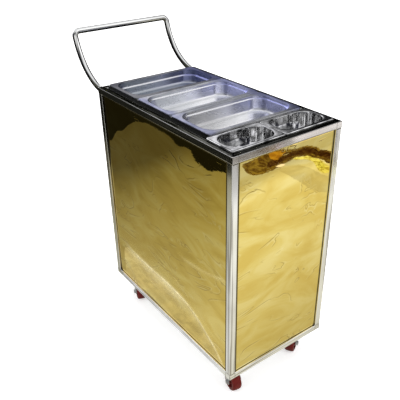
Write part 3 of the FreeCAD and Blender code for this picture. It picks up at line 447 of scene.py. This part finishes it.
def weld_seam(centre, across, up, section, proud, width, ripples):
    """A bead run round a section in the plane of across and up, which swells by a tenth in ripples."""
    points, normal = section
    across, up = np.array(across, float), np.array(up, float)
    along = np.cross(across, up)
    along /= np.linalg.norm(along)
    line = np.array(centre) + points[:, :1] * across + points[:, 1:] * up
    out = normal[:, :1] * across / np.linalg.norm(across) + normal[:, 1:] * up
    out /= np.linalg.norm(out, axis=1, keepdims=True)
    walk = np.concatenate([[0], np.cumsum(np.linalg.norm(np.diff(line, axis=0), axis=1))])
    return bead(line, out, along, proud, width, 1 + 0.10 * np.cos(2 * math.pi * ripples * walk / walk[-1]))


def join(parts):
    """Several (points, faces) as one."""
    points, faces, count = [], [], 0
    for part_points, part_faces in parts:
        part_points = np.asarray(part_points).reshape(-1, 3)
        points.append(part_points)
        faces.extend((np.asarray(part_faces) + count).tolist())
        count += len(part_points)
    return np.concatenate(points), faces


tube_corner = 0.002
section = square_section(tube, tube_corner, 7)
proud, butt_width, mitre_width, ripples = 0.00025, 0.0016, 0.0014, 40
seams = []
for x_edge, x_in in ((x_front, -1), (x_rear, 1)):
    for y_edge, y_in in ((y_side, -1), (-y_side, 1)):
        x, y = x_edge + x_in * tube / 2, y_edge + y_in * tube / 2
        for z in (z_low + tube, z_high - tube):
            seams.append(weld_seam((x, y, z), (1, 0, 0), (0, 1, 0), section, proud, butt_width, ripples))
        for z in (z_low + tube / 2, z_high - tube / 2):
            mitre = (x_in, y_in, 0), (0, 0, 1)
            seams.append(weld_seam((x, y, z), *mitre, section, proud, mitre_width, ripples))
weld_steel = metal("ground_weld", (0.72, 0.70, 0.66), (0.50, 0.46, 0.40), (0.24, 0.40), (900, 900, 900), 0.25)
seam_points, seam_faces = join(seams)
seam_points = np.clip(seam_points, (x_rear, -y_side, z_low), (x_front, y_side, z_high))
welds = build("frame_welds", seam_points, seam_faces, weld_steel, "trolley")


# Gold cladding
# Gold-coated mirror stainless, 1 mm thick, folded back at all four edges and let into the frame's
# openings. Thin sheet is never flat: it bellies between the folds, and handling has creased it.
def gold_mirror(name, golds, edges, shift, levels=10.0, spared=0.52, shade_rise=0.0):
    """Gold mirror sheet. Broad noise, drawn out across the sheet, mixes three golds. Wrinkle lines
    run where a swirling noise, counted off in levels, crosses a level: the distance to the line is
    the noise's offset over its slope, so that each line keeps its width. They are painted shade,
    dark, with a painted highlight as a pale side, and fade where a patchy noise is under the spared
    share. Painted shade darkens the gold within 3 mm of its four edges, (axis, low, high, bottom,
    top), and reaches wider by the given amount up the low edge. Along the crease attribute a painted
    highlight makes it paler, duller and less metallic."""
    paint = Shader(name)
    maths = paint.maths
    axis, low, high, bottom, top_edge = edges
    object_place = paint.place()
    place = paint.stretched(object_place, (1.0, 1.0, 2.5), shift)
    broad = paint.noise(place, 4.4, 4.0, 1.6)

    def swirl(step):
        moved = paint.add("VectorMath", {0: place, 1: step}, operation="ADD").outputs[0]
        return paint.noise(moved, 3.4, 3.0, 1.1, 0.55)

    step = 0.0015
    here = swirl((0.0, 0.0, 0.0))
    beside = swirl((step, 0.0, 0.0) if axis == "X" else (0.0, step, 0.0))
    rises = [maths("SUBTRACT", there, here) for there in (beside, swirl((0.0, 0.0, step * 2.5)))]
    slope = maths("SQRT", maths("ADD", *[maths("MULTIPLY", rise, rise) for rise in rises]))
    slope = maths("MULTIPLY", maths("MAXIMUM", slope, 0.0008), levels / step)
    aside = maths("DIVIDE", maths("SUBTRACT", maths("FRACT", maths("MULTIPLY", here, levels)), 0.5), slope)
    patch = paint.noise(place, 9.0, 3.0)
    shown = paint.span(patch, spared, spared + 0.16)
    # The wrinkles are painted shade, with a painted highlight beside each.
    dark_line = maths("MULTIPLY", paint.span(maths("ABSOLUTE", aside), 0.0006, 0.0022, 1.0, 0.0), shown)
    off_pale = maths("ABSOLUTE", maths("SUBTRACT", aside, 0.0045))
    pale_line = maths("MULTIPLY", paint.span(off_pale, 0.0, 0.0042, 1.0, 0.0), shown)
    axes = paint.axes(object_place)
    # Painted shade along the four edges, wider up the low edge higher up.
    shaded_low = paint.span(axes["Z"], 0.52, 0.66, low, low + shade_rise)
    nearest = 1.0
    inside = (axes[axis], shaded_low), (high, axes[axis]), (axes["Z"], bottom), (top_edge, axes["Z"])
    for ahead, behind in inside:
        nearest = maths("MINIMUM", maths("SUBTRACT", ahead, behind), nearest)
    stain_and_shade = paint.span(nearest, 0.0022, 0.0034, 0.9, 0.0)
    # Painted highlight along the folds.
    fold_highlight = maths("MULTIPLY", paint.add("Attribute", attribute_name="crease").outputs["Fac"],
                paint.span(patch, 0.35, 0.60, 0.45, 1.0))
    tone = paint.ramp(broad, list(zip((0.34, 0.50, 0.66), golds)))
    for amount, strength, colour in (
            (dark_line, 0.50, (0.28, 0.18, 0.04)), (pale_line, 0.34, (0.98, 0.88, 0.46)),
            (fold_highlight, 0.88, (1.0, 0.87, 0.47)), (stain_and_shade, 1.0, (0.05, 0.042, 0.022))):
        tone = paint.mixed(maths("MULTIPLY", amount, strength), tone, colour)
    relief = maths("MULTIPLY_ADD", paint.noise(place, 30.0, 2.0), 0.35, dark_line)
    gloss = maths("MULTIPLY_ADD", fold_highlight, 0.28, paint.span(broad, 0.3, 0.7, 0.012, 0.03))
    gloss = maths("MULTIPLY_ADD", stain_and_shade, 0.45, gloss)
    mirror = maths("MULTIPLY_ADD", fold_highlight, -0.65, 1.0)
    return surface(paint, tone, gloss, relief, 0.08, 0.0008, {"Metallic": mirror})


def oil_canning(across, up, width, height, seed, slope, folds=(), buckles=()):
    """How far a thin sheet bellies out at (across, up): twelve cosine waves of seeded direction and
    length, each as steep as the given slope, plus a buckle, a round bulge of (across, up, radius,
    rise), and sharp folds along curves up = curve(across). All of it dies out towards the edges."""
    random = np.random.default_rng(seed)
    relief = np.zeros_like(across)
    for length in np.geomspace(0.10, 0.36, 12):
        heading, phase = random.uniform(0, math.pi), random.uniform(0, 2 * math.pi)
        steep = slope * random.uniform(0.5, 1.0)
        relief += steep * length / (2 * math.pi) * np.cos(
            2 * math.pi / length * (across * math.cos(heading) + up * math.sin(heading)) + phase)
    for curve, start, end, rise, spread in folds:
        relief += rise * crease_mark(across, up, [(curve, start, end, 1.0, spread)])
    for middle_across, middle_up, radius, rise in buckles:
        relief += rise * np.exp(-((across - middle_across) ** 2 + (up - middle_up) ** 2) / radius ** 2)
    edge = np.minimum(np.minimum(across + width / 2, width / 2 - across), np.minimum(up, height - up))
    fade = np.clip(edge / 0.10, 0, 1)
    return relief * fade * fade * (3 - 2 * fade)


def crease_mark(across, up, folds):
    """How near (across, up) is to a fold, from 0 to its weight: weight / cosh(distance / spread),
    cut off smoothly before the fold's start and past its end."""
    mark = np.zeros_like(across)
    for curve, start, end, weight, spread in folds:
        reach = 1 / (1 + np.exp(-(across - start) / 0.012)) / (1 + np.exp((across - end) / 0.012))
        mark += weight * reach / np.cosh((up - np.polyval(curve, across)) / spread)
    return mark


def folded_sheet(name, replaced, body, size, origin, across, back, loops, waves, material, grid=0.0045,
                 highlighted_folds=()):
    """A sheet folded back at its four edges. The face is a grid over (across, up) that stands proud
    by its waves; its border then steps out and back through loops of (inset, depth), mitred at the
    corners. Solidify gives the 1 mm thickness inwards. Folds given for a painted highlight are marked."""
    width, height = size
    first = loops[0][0]
    columns, rows = int(width / grid), int(height / grid)
    a, b = np.meshgrid(np.linspace(first - width / 2, width / 2 - first, columns),
                       np.linspace(first, height - first, rows))
    face = np.stack([a, b, -oil_canning(a, b, width, height, **waves)], axis=-1).reshape(-1, 3)
    index = np.arange(rows * columns).reshape(rows, columns)
    border = np.concatenate([index[0, :-1], index[:-1, -1], index[-1, :0:-1], index[:0:-1, 0]])
    rim = face[border]
    out = np.zeros_like(rim)
    for k in (0, 1):
        out[:, k] = 1.0 * np.isclose(rim[:, k], face[:, k].max()) - np.isclose(rim[:, k], face[:, k].min())
    rings = [rim + out * (first - inset) + np.array([0, 0, depth]) for inset, depth in loops[1:]]
    local = np.concatenate([face] + rings)
    points = np.array(origin) + local @ np.array([across, (0, 0, 1), back], float)
    ring_index = rows * columns + np.arange(len(rings) * len(border)).reshape(-1, len(border))
    band = np.concatenate([border[None], ring_index])
    after = np.roll(band, -1, axis=1)
    sides = np.stack([band[:-1], band[1:], after[1:], after[:-1]], axis=-1).reshape(-1, 4)
    piece = build(name, points, np.concatenate([grid_faces(rows, columns), sides]), material, body)
    crease = np.zeros(len(points))
    crease[:rows * columns] = crease_mark(a, b, highlighted_folds).ravel()
    lay(piece.data, "crease", crease)
    thicken(piece, 0.001)
    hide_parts(replaced)


def thicken(piece, thickness):
    """Gives a sheet its thickness, on the side away from its normals."""
    wall = piece.modifiers.new("sheet", "SOLIDIFY")
    wall.thickness, wall.offset = thickness, -1


def bend_loops(radius, depth, steps=5):
    """(inset from the edge, depth) round a fold of given radius and on down a flange."""
    angle = np.linspace(0, math.pi / 2, steps)
    loops = [(radius * (1 - math.sin(t)), radius * (1 - math.cos(t))) for t in angle]
    return loops + [(0.0, depth / 2), (0.0, depth)]


recess, flange, bend = 0.006, 0.012, 0.0016
opening = z_high - z_low - 2 * tube
long_size, cross_size = (x_front - x_rear - 2 * tube, opening), (2 * (y_side - tube), opening)
middle = (x_rear + x_front) / 2
z_open = z_low + tube
z_edges = (z_open, z_open + opening)
panel_loops = bend_loops(bend, flange)
# The tube in front hides a recessed sheet's own edge, so there the painted edge shade reaches further in.
unseen_right, unseen_front, unseen_top = 0.0075, 0.0060, 0.004

ridge = np.polyfit([-0.23, -0.13, -0.056, 0.06, 0.16, 0.254, 0.30],
                   [0.150, 0.140, 0.134, 0.139, 0.111, 0.052, 0.008], 4)
upper_ridge = np.polyfit([0.09, 0.17, 0.23, 0.30], [0.292, 0.300, 0.306, 0.326], 2)
height_term = np.array([0, 0, 0, 0, 1.0])
right_folds = [(ridge, -0.25, 0.30, 0.0016, 0.007), (upper_ridge, 0.10, 0.31, 0.0008, 0.006)]
# Where the side panel's folds carry a painted highlight.
right_fold_highlights = [(ridge, -0.20, 0.31, 0.72, 0.0042), (upper_ridge, 0.11, 0.31, 0.36, 0.0036),
                (ridge - 0.012 * height_term, -0.26, 0.08, 0.34, 0.012),
                (ridge - 0.020 * height_term, -0.24, 0.31, 0.20, 0.026)]
# The side panel's painted edge shade reaches wider along its low edge near the top.
right_gold = gold_mirror("gold_mirror_right", [(0.66, 0.47, 0.085), (0.76, 0.56, 0.12), (0.84, 0.66, 0.19)],
                         ("X", x_rear + tube, x_front - tube - unseen_right, z_open, z_edges[1] - unseen_top),
                         (0.0, 0.0, 0.0), levels=7.0, spared=0.47, shade_rise=0.010)
folded_sheet("cladding_right", "side_panel_right", "trolley", long_size, (middle, recess - y_side, z_open),
             (1, 0, 0), (0, 1, 0), panel_loops, dict(seed=11, slope=0.005, folds=right_folds), right_gold,
             grid=0.0034, highlighted_folds=right_fold_highlights)

plain_golds = [(0.73, 0.53, 0.13), (0.78, 0.59, 0.17), (0.82, 0.65, 0.22)]
left_gold = gold_mirror("gold_mirror_left", plain_golds, ("X", x_rear + tube, x_front - tube, *z_edges),
                        (3.1, 0.7, 1.9))
folded_sheet("cladding_left", "side_panel_left", "trolley", long_size, (middle, y_side - recess, z_open),
             (-1, 0, 0), (0, -1, 0), panel_loops, dict(seed=23, slope=0.006), left_gold)

front_gold = gold_mirror("gold_mirror_front", [(0.73, 0.54, 0.13), (0.80, 0.63, 0.19), (0.86, 0.71, 0.27)],
                         ("Y", tube - y_side + unseen_front, y_side - tube, *z_edges),
                         (1.7, 2.2, 0.4), levels=6.0, spared=0.48)
front_buckles = [(0.11, 0.60, 0.05, 0.0003)]
folded_sheet("cladding_front", "front_panel", "trolley", cross_size, (x_front - recess, 0, z_open),
             (0, 1, 0), (-1, 0, 0), panel_loops, dict(seed=5, slope=0.004, buckles=front_buckles), front_gold,
             grid=0.0040)


# Counter, cross bars and deck
# Stainless sheet folded down inside the top ring, with a raised seat round the pans; folded bars
# under the joints between pans; and the storage deck on the castor channels. Satin from the mill.
mill_tones = (0.60, 0.60, 0.60), (0.46, 0.46, 0.47)
# The counter's strip between the pans' lips and the right rail is painted near black, a painted shade.
counter_steel = metal("counter_sheet", *mill_tones, (0.16, 0.30), (14, 300, 300), 0.15,
                      shade_margin=(-0.158, -0.163, (0.04, 0.04, 0.038)))
deck_steel = metal("deck_sheet", *mill_tones, (0.26, 0.40), (10, 260, 260), 0.20)
dress(counter_steel, "counter", "cross_bar_rear", "cross_bar_front")
dress(deck_steel, "deck")


# Food pans and sauce bowls
# Drawn in one piece from 0.8 mm stainless: a lip turned down all round, a flat flange, and a tub
# with deep round corners. The pans are satin with a stacking shoulder; the bowls mirror-polished.
def rounded(inset, height, radius, start, end, count):
    """Points (inset, height) on a circle about a centre, between two angles in degrees."""
    angles = np.radians(np.linspace(start, end, count))
    return [(inset + radius * math.cos(t), height + radius * math.sin(t)) for t in angles]


def container_profile(flange, lip, edge, corner, shoulder, step, draft, rim, floor_bend, depth):
    """Stations (inset, height, corner radius) from the lip's lower edge over the flange, down the
    wall and in to the floor. Going in over the flange the radius grows from the outline's to the
    mouth's; further in it loses 0.4 of the inset, because the corners are drawn with more taper."""
    outline, mouth = corner
    last, tub, slope, fillet = flange - rim, flange + step, draft / depth, 0.0011

    def grow(inset):
        return mouth + (flange - inset) * (1.0 if inset < flange else 0.4)

    turned_down = [(0.0, -lip), (0.0, -edge)] + rounded(edge, -edge, edge, 162, 90, 4)
    stations = [(*point, outline) for point in turned_down]
    for share in (0.35, 0.7):
        radius = outline + share ** 1.5 * (grow(last) - outline)
        stations.append((edge + share * (last - edge), 0.0, radius))
    wall = rounded(last, -rim, rim, 90, 0, 6)
    if shoulder > 0:
        wall += rounded(flange + fillet, fillet - shoulder, fillet, 180, 270, 5)
        wall += rounded(tub + slope * (shoulder + fillet) - fillet, -shoulder - fillet, fillet, 90, 0, 5)
    lean = math.hypot(1, slope)
    top_z, foot_z = wall[-1][1], floor_bend - depth - floor_bend * slope / lean
    for share in (0.25, 0.5, 0.75):
        z = top_z + share * (foot_z - top_z)
        wall.append((tub - slope * z, z))
    wall += rounded(tub - slope * foot_z + floor_bend / lean, floor_bend - depth, floor_bend,
                    180 + math.degrees(math.atan(slope)), 270, 9)
    return np.array(stations + [(inset, z, grow(inset)) for inset, z in wall])


def drawn_container(name, replaced, body, stations, bow, material):
    """Rings of a round-cornered rectangle, one for each (inset, height, radius) station; the long
    sides bow by a hair below the flange. The last ring shrinks in steps to close the floor."""
    low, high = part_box(replaced)
    half = np.array([high.x - low.x, high.y - low.y]) / 2
    inset, height, radius = stations.T
    radius = np.minimum(radius, half.min() - inset - 0.0005)
    steps, straights = 25, 6
    rounds, signs = (values.reshape(4, steps, 2) for values in corner_rounds(steps))
    blend = np.linspace(0, 1, straights + 2)[1:-1, None]
    sign, arc = [], []
    for k in range(4):
        here, there = signs[k][0], signs[(k + 1) % 4][0]
        sign += [signs[k], here + blend * (there - here)]
        arc += [rounds[k], np.tile(rounds[k][-1], (straights, 1))]
    sign, arc = np.concatenate(sign), np.concatenate(arc)
    ring = sign[None] * (half - inset[:, None] - radius[:, None])[:, None] + arc[None] * radius[:, None, None]
    deep = np.clip(-height / 0.03, 0, 1)[:, None]
    long_side = np.where(np.abs(arc[:, 0]) > 0.999, np.round(arc[:, 0]), 0.0)
    ring[:, :, 0] += bow * deep * long_side * (1 - sign[:, 1] ** 2) ** 2
    count = ring.shape[1]
    shell = np.concatenate([ring, np.repeat(height[:, None], count, axis=1)[..., None]], axis=2)
    floor = [shell[-1] * (share, share, 1) - (0, 0, 0.0006 * (1 - share)) for share in (0.8, 0.55, 0.3, 0.08)]
    rings = np.concatenate([shell, np.array(floor)])
    faces = grid_faces(len(rings), count, False, True).tolist()
    faces.append(list(range((len(rings) - 1) * count, len(rings) * count)))
    centre = np.array([(low.x + high.x) / 2, (low.y + high.y) / 2, high.z])
    piece = build(name, rings.reshape(-1, 3) + centre, faces, material, body, 50)
    thicken(piece, 0.0008)
    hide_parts(replaced)


def painted_light_pan_steel(name, walls, floor_painted_light, flanges, heights, painted_blue):
    """Satin steel with light and shade painted into its colour. The tub goes from the first wall tone
    at the right to the second left of centre, a painted shade, and has painted highlights on the
    floor and on the shoulder's ledge; heights are those of floor, ledge and flange. The flange is
    duller, with two painted tones and a tint for what it mirrors at a low angle. A painted blue
    reflection, as strong as (right, left), lies past a wavering line."""
    paint = Shader(name)
    place = paint.place()
    axes = paint.axes(place)
    floor, ledge, flange = heights
    fine = paint.noise(paint.stretched(place, (60, 7, 60)), 1.0, 4.0, roughness=0.6)
    broad = paint.noise(place, 11.0, 3.0, 0.6)
    waver = paint.maths("MULTIPLY_ADD", broad, 0.10, axes["Y"])
    # Painted shade: the walls go from one tone to the other across the pan.
    tone = paint.mixed(paint.span(waver, 0.0, 0.11), *walls)
    # Painted highlights on the floor and on the shoulder's ledge.
    tone = paint.mixed(paint.span(axes["Z"], floor + 0.0028, floor + 0.0008), tone, floor_painted_light)
    off_ledge = paint.maths("ABSOLUTE", paint.maths("SUBTRACT", axes["Z"], ledge))
    tone = paint.mixed(paint.span(off_ledge, 0.0026, 0.0010), tone, (0.97, 0.97, 0.98))
    # Painted tones on the flange.
    on_flange = paint.span(axes["Z"], flange - 0.0018, flange - 0.0006)
    tone = paint.mixed(on_flange, tone, paint.ramp(broad, [(0.40, flanges[0]), (0.58, flanges[1])]))
    # A painted blue reflection towards both ends.
    blue = paint.maths("MAXIMUM", paint.span(waver, -0.075, -0.100, 0.0, painted_blue[0]),
                       paint.span(waver, 0.145, 0.190, 0.0, painted_blue[1]))
    blue = paint.maths("MULTIPLY", blue, paint.span(axes["Z"], floor + 0.002, floor + 0.012))
    tone = paint.mixed(blue, tone, (0.50, 0.53, 0.90), "MULTIPLY")
    gloss = paint.maths("MULTIPLY_ADD", on_flange, 0.06, paint.span(fine, 0.3, 0.7, 0.26, 0.30))
    glance = paint.mixed(on_flange, (1, 1, 1), flanges[2])
    return surface(paint, tone, gloss, fine, 0.012, 0.0004, {"Metallic": 1.0, "Specular Tint": glance})


pan_depth = 0.045
# Painted flange tones: two tones and a tint that dims what they mirror, darker on the rear pan.
grey_flange = ((0.13, 0.13, 0.14), (0.23, 0.23, 0.24), (0.40, 0.40, 0.42))
pale_flange = ((0.27, 0.28, 0.30), (0.44, 0.445, 0.46), (0.55, 0.55, 0.60))
# Each pan's tones are painted light and shade: the rear pan darker, lighter floors on the middle and front.
for place, shoulder, right_wall, left_wall, floor_painted_light, flange_tones, painted_blue in (
        ("rear", 0.019, (0.36, 0.385, 0.42), (0.44, 0.46, 0.52), (0.44, 0.47, 0.52), grey_flange, (0, 0.9)),
        ("middle", 0.009, (0.56, 0.575, 0.60), (0.84, 0.845, 0.86), [0.98] * 3, pale_flange, (0.55, 0.85)),
        ("front", 0.009, (0.47, 0.47, 0.475), (0.78, 0.785, 0.80), [0.96] * 3, pale_flange, (0.55, 0.85))):
    pan_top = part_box("food_pan_" + place)[1].z
    pan_steel = painted_light_pan_steel("pan_satin_painted_light_" + place, (right_wall, left_wall), floor_painted_light, flange_tones,
                           (pan_top - pan_depth, pan_top - shoulder, pan_top), painted_blue)
    stations = container_profile(
        flange=0.0125, lip=0.004, edge=0.002, corner=(0.009, 0.042), rim=0.002, shoulder=shoulder,
        step=0.0025, draft=0.0065, floor_bend=0.010, depth=pan_depth)
    drawn_container("pan_" + place + "_drawn", "food_pan_" + place, "pan_" + place, stations,
                    bow=-0.0006, material=pan_steel)

bowl_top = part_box("sauce_bowl_left")[1].z
# The bowls' colour carries painted reflections, black and white blobs by noise, and their flange is painted
# dark grey.
bowl_steel = metal("bowl_mirror", (1.0, 1.0, 1.0), (0.10, 0.10, 0.10), (0.09, 0.11), (40, 40, 40), 0.0, 26.0,
                   satin_painted_dark=(bowl_top - 0.0003, 0.06, (0.08, 0.08, 0.08), (0.30, 0.30, 0.31), 1.0))
stations = container_profile(flange=0.0105, lip=0.006, edge=0.003, corner=(0.006, 0.040), rim=0.002,
                             shoulder=0.0, step=0.0, draft=0.006, floor_bend=0.028, depth=0.065)
for side in ("left", "right"):
    drawn_container("bowl_" + side + "_drawn", "sauce_bowl_" + side, "bowl_" + side, stations,
                    bow=-0.0004, material=bowl_steel)


# Push handle
# One length of 19 mm round tube, mirror-polished. Both legs sweep back and up from the rear rail,
# and two tight bends carry them into the grip bar; each foot is welded to the rail all round.
tube_radius, sweep, lead, corner_radius, grip_rise = 0.0095, 0.1945, 0.0373, 0.017, 0.149
leg_y = y_side - tube / 2
arc_z = z_high - tube / 2 + math.sqrt(sweep ** 2 - lead ** 2)
foot = math.acos(lead / sweep)
drop = arc_z - z_high - grip_rise
head = math.asin(drop / math.hypot(sweep, corner_radius)) + math.atan(corner_radius / sweep)


def leg_point(angle):
    """A leg's centre line: an arc whose centre stands over the frame, angle from its level down."""
    x, z = x_rear + lead - sweep * np.cos(angle), arc_z - sweep * np.sin(angle)
    return np.stack([x, 0 * angle, z], axis=-1)


def leg_heading(angle):
    """The upward direction along the arc."""
    return np.stack([-np.sin(angle), 0 * angle, np.cos(angle)], axis=-1)


climb = np.linspace(foot, head, 30)
swing = np.linspace(0, math.pi / 2, 12)[1:, None]
sideways = np.array([0.0, 1.0, 0.0])
up_end = leg_heading(np.array(head))
bend_centre = leg_point(np.array(head)) + (leg_y - corner_radius) * sideways
bend_line = bend_centre + corner_radius * (np.cos(swing) * sideways + np.sin(swing) * up_end)
bend_heading = np.cos(swing) * up_end - np.sin(swing) * sideways
line = np.concatenate([leg_point(climb) + leg_y * sideways, bend_line])
heading = np.concatenate([leg_heading(climb), bend_heading])
bend_binormal = np.tile(np.cross(up_end, sideways), (len(swing), 1))
binormal = np.concatenate([np.cross(leg_heading(climb), sideways), bend_binormal])
flip = np.array([1.0, -1.0, 1.0])
line = np.concatenate([line, line[::-1] * flip])
heading = np.concatenate([heading, -heading[::-1] * flip])
binormal = np.concatenate([binormal, binormal[::-1]])
sides = 40
around = np.linspace(0, 2 * math.pi, sides, endpoint=False)
outward = (np.cos(around)[None, :, None] * np.cross(binormal, heading)[:, None]
           + np.sin(around)[None, :, None] * binormal[:, None])
# Bending leaves the legs a hair out of round.
walk = np.linspace(-1, 1, len(line))
dent = 0.025 * np.sin(31 * walk) * np.clip(4 * np.abs(walk) - 1.6, 0, 1)
oval = np.minimum(1 + dent[:, None] * np.cos(2 * around + 0.6), 1.0)
skin = line[:, None] + tube_radius * oval[..., None] * outward
for end in (0, -1):
    slide = (x_rear - skin[end][:, :1]) / heading[end][0]
    skin[end] = skin[end] + slide * heading[end]
caps = [list(range(sides)), list(range((len(line) - 1) * sides, len(line) * sides))[::-1]]
handle_faces = grid_faces(len(line), sides, False, True).tolist() + caps
# The handle takes a painted shade where its mesh says.
handle_steel = metal("handle_polished", (0.92, 0.92, 0.90), (0.80, 0.80, 0.78), (0.04, 0.08), (70, 12, 70),
                     0.015, painted_shade=(0.045, 0.045, 0.034))
handle = build("push_handle_tube", skin, handle_faces, handle_steel, "trolley", 50)
# Painted shade: the grip is painted dark underneath and along its top, and the legs on the side to the
# camera's left.
out_x, out_y, out_z = np.moveaxis(outward, -1, 0)
across = np.abs(heading[:, None, 1])
under = np.clip((-out_z - 0.05) / 0.3, 0, 1) + 0.8 * np.clip((out_z - 0.86) / 0.08, 0, 1)
rearward = np.clip((-0.581 * out_x - 0.814 * out_y - 0.12) / 0.2, 0, 1)
lay(handle.data, "painted_shade", (across * under + (1 - across) * rearward).ravel())
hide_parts("push_handle")

foot_bead = 0.0016
feet = []
for side in (1, -1):
    ring = skin[0] * (1, side, 1)
    out = ring - ring.mean(axis=0)
    out /= np.linalg.norm(out, axis=1, keepdims=True)
    swell = 1 + 0.12 * np.cos(around * 20)
    feet.append(bead(ring, out, np.array([1.0, 0, 0]), foot_bead, foot_bead, swell))
foot_points, foot_faces = join(feet)
foot_points[:, 1] = np.clip(foot_points[:, 1], -y_side, y_side)
foot_welds = build("push_handle_welds", foot_points, foot_faces, weld_steel, "trolley")


# Rear door
# The same gold sheet, box-folded 18 mm deep with a lip turned in all round, hung on two stainless
# butt hinges and held by a magnetic catch. The bow pull is screwed on from inside.
door_low, door_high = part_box("rear_door")
door_depth, door_width, door_height = (high - low for high, low in zip(door_high, door_low))
door_loops = bend_loops(bend, door_depth - 0.001) + [
    (0.0005, door_depth - 0.0003), (0.0012, door_depth), (0.014, door_depth)]
clear = 0.002
door_gold = gold_mirror("gold_mirror_door", plain_golds, (
    "Y", door_low.y - clear, door_high.y + clear, door_low.z - clear, door_high.z + clear), (5.3, 4.1, 2.6))
folded_sheet("door_skin", "rear_door", "door", (door_width, door_height), (door_low.x, 0, door_low.z),
             (0, -1, 0), (1, 0, 0), door_loops, dict(seed=31, slope=0.009), door_gold)
hinge_steel = metal("hinge_polished", (0.74, 0.74, 0.73), (0.58, 0.58, 0.57), (0.16, 0.28), (300, 300, 30),
                    0.12)
dress(hinge_steel, "door_pull", "door_strike", *["hinge_%s_%s" % (part, place) for part in (
    "frame_leaf", "door_leaf", "pin") for place in ("lower", "upper")])


def moulded(name, colour, shade, roughness, speckle, depth):
    """Moulded plastic or rubber: two close tones mixed by noise, and a fine texture bump."""
    paint = Shader(name)
    place = paint.place()
    tone = paint.ramp(paint.noise(place, 26.0, 4.0), [(0.32, shade), (0.60, colour)])
    fine = paint.noise(place, speckle, 3.0)
    gloss = paint.span(fine, 0.3, 0.7, *roughness)
    return surface(paint, tone, gloss, fine, depth, 0.0003, {"Specular IOR Level": 0.2})


catch_grey = moulded("catch_housing", (0.62, 0.62, 0.60), (0.54, 0.54, 0.52), (0.45, 0.60), 900.0, 0.2)
dress(catch_grey, "door_catch")


# Castors
# Bought-in swivel castors: zinc-plated pressed plates, forks and bearers, and 65 mm wheels with a
# dark red cast tread bonded to a moulded core. Bolted through the channels under the deck.
zinc = metal("zinc_plate", (0.60, 0.60, 0.60), (0.44, 0.45, 0.46), (0.24, 0.42), (120, 120, 120), 0.18, 22.0)
dress(zinc, "castor_bearer_front", "castor_bearer_rear", "castor_kingpins", "castor_bolts",
      *[part + corner for part in ("castor_plate_", "castor_fork_", "castor_axle_") for corner in corners])
tread_red = moulded("tread_red", (0.15, 0.010, 0.007), (0.095, 0.007, 0.006), (0.40, 0.56), 420.0, 0.25)
core_red = moulded("core_red", (0.13, 0.009, 0.007), (0.09, 0.007, 0.006), (0.42, 0.56), 700.0, 0.25)
headings = {"front_left": 120.0, "front_right": 168.0, "rear_left": 135.0, "rear_right": 160.0}


def lathed(name, replaced, body, profile, centre, axle, segments, material, bevel=0):
    """A closed profile of (radius, offset along the axle) turned once round the axle."""
    profile = np.array(profile)
    spin = np.linspace(0, 2 * math.pi, segments, endpoint=False)[:, None]
    radial = np.cos(spin) * np.array([axle[1], -axle[0], 0.0]) + np.sin(spin) * np.array([0, 0, 1.0])
    points = np.array(centre) + profile[None, :, :1] * radial[:, None] + profile[None, :, 1:] * np.array(axle)
    piece = build(name, points, grid_faces(segments, len(profile), True, True), material, body, 35)
    if bevel:
        soften = piece.modifiers.new("edges", "BEVEL")
        soften.width, soften.segments = bevel, 2
        soften.limit_method, soften.angle_limit = "ANGLE", math.radians(40)
    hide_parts(replaced)


wheel, tread_half, rim = 0.0325, 0.015, 0.0245
bulge = np.linspace(-1, 1, 25)
seam = 0.0002 * np.exp(-(bulge / 0.04) ** 2)
outer = wheel - 0.0002 - 0.0030 * np.abs(bulge) ** 5 - 0.0006 * bulge ** 2 + seam
tread_profile = [(rim, -tread_half), *zip(outer, tread_half * bulge), (rim, tread_half)]
core_profile = [(0.00405, 0.016), (0.0098, 0.016), (0.011, 0.0148), (0.0112, 0.0062), (0.0122, 0.005),
                (0.0192, 0.005), (0.0203, 0.006), (0.0205, 0.015), (rim, 0.015)]
core_profile += [(r, -o) for r, o in reversed(core_profile)]
for corner in corners:
    low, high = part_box("wheel_tread_" + corner)
    centre = (low + high) / 2
    centre.z = wheel
    turned = math.radians(headings[corner])
    axle = (-math.sin(turned), math.cos(turned), 0)
    lathed("tread_" + corner, "wheel_tread_" + corner, "wheel_" + corner, tread_profile,
           centre, axle, 96, tread_red)
    lathed("core_" + corner, "wheel_core_" + corner, "wheel_" + corner, core_profile,
           centre, axle, 72, core_red, 0.0005)
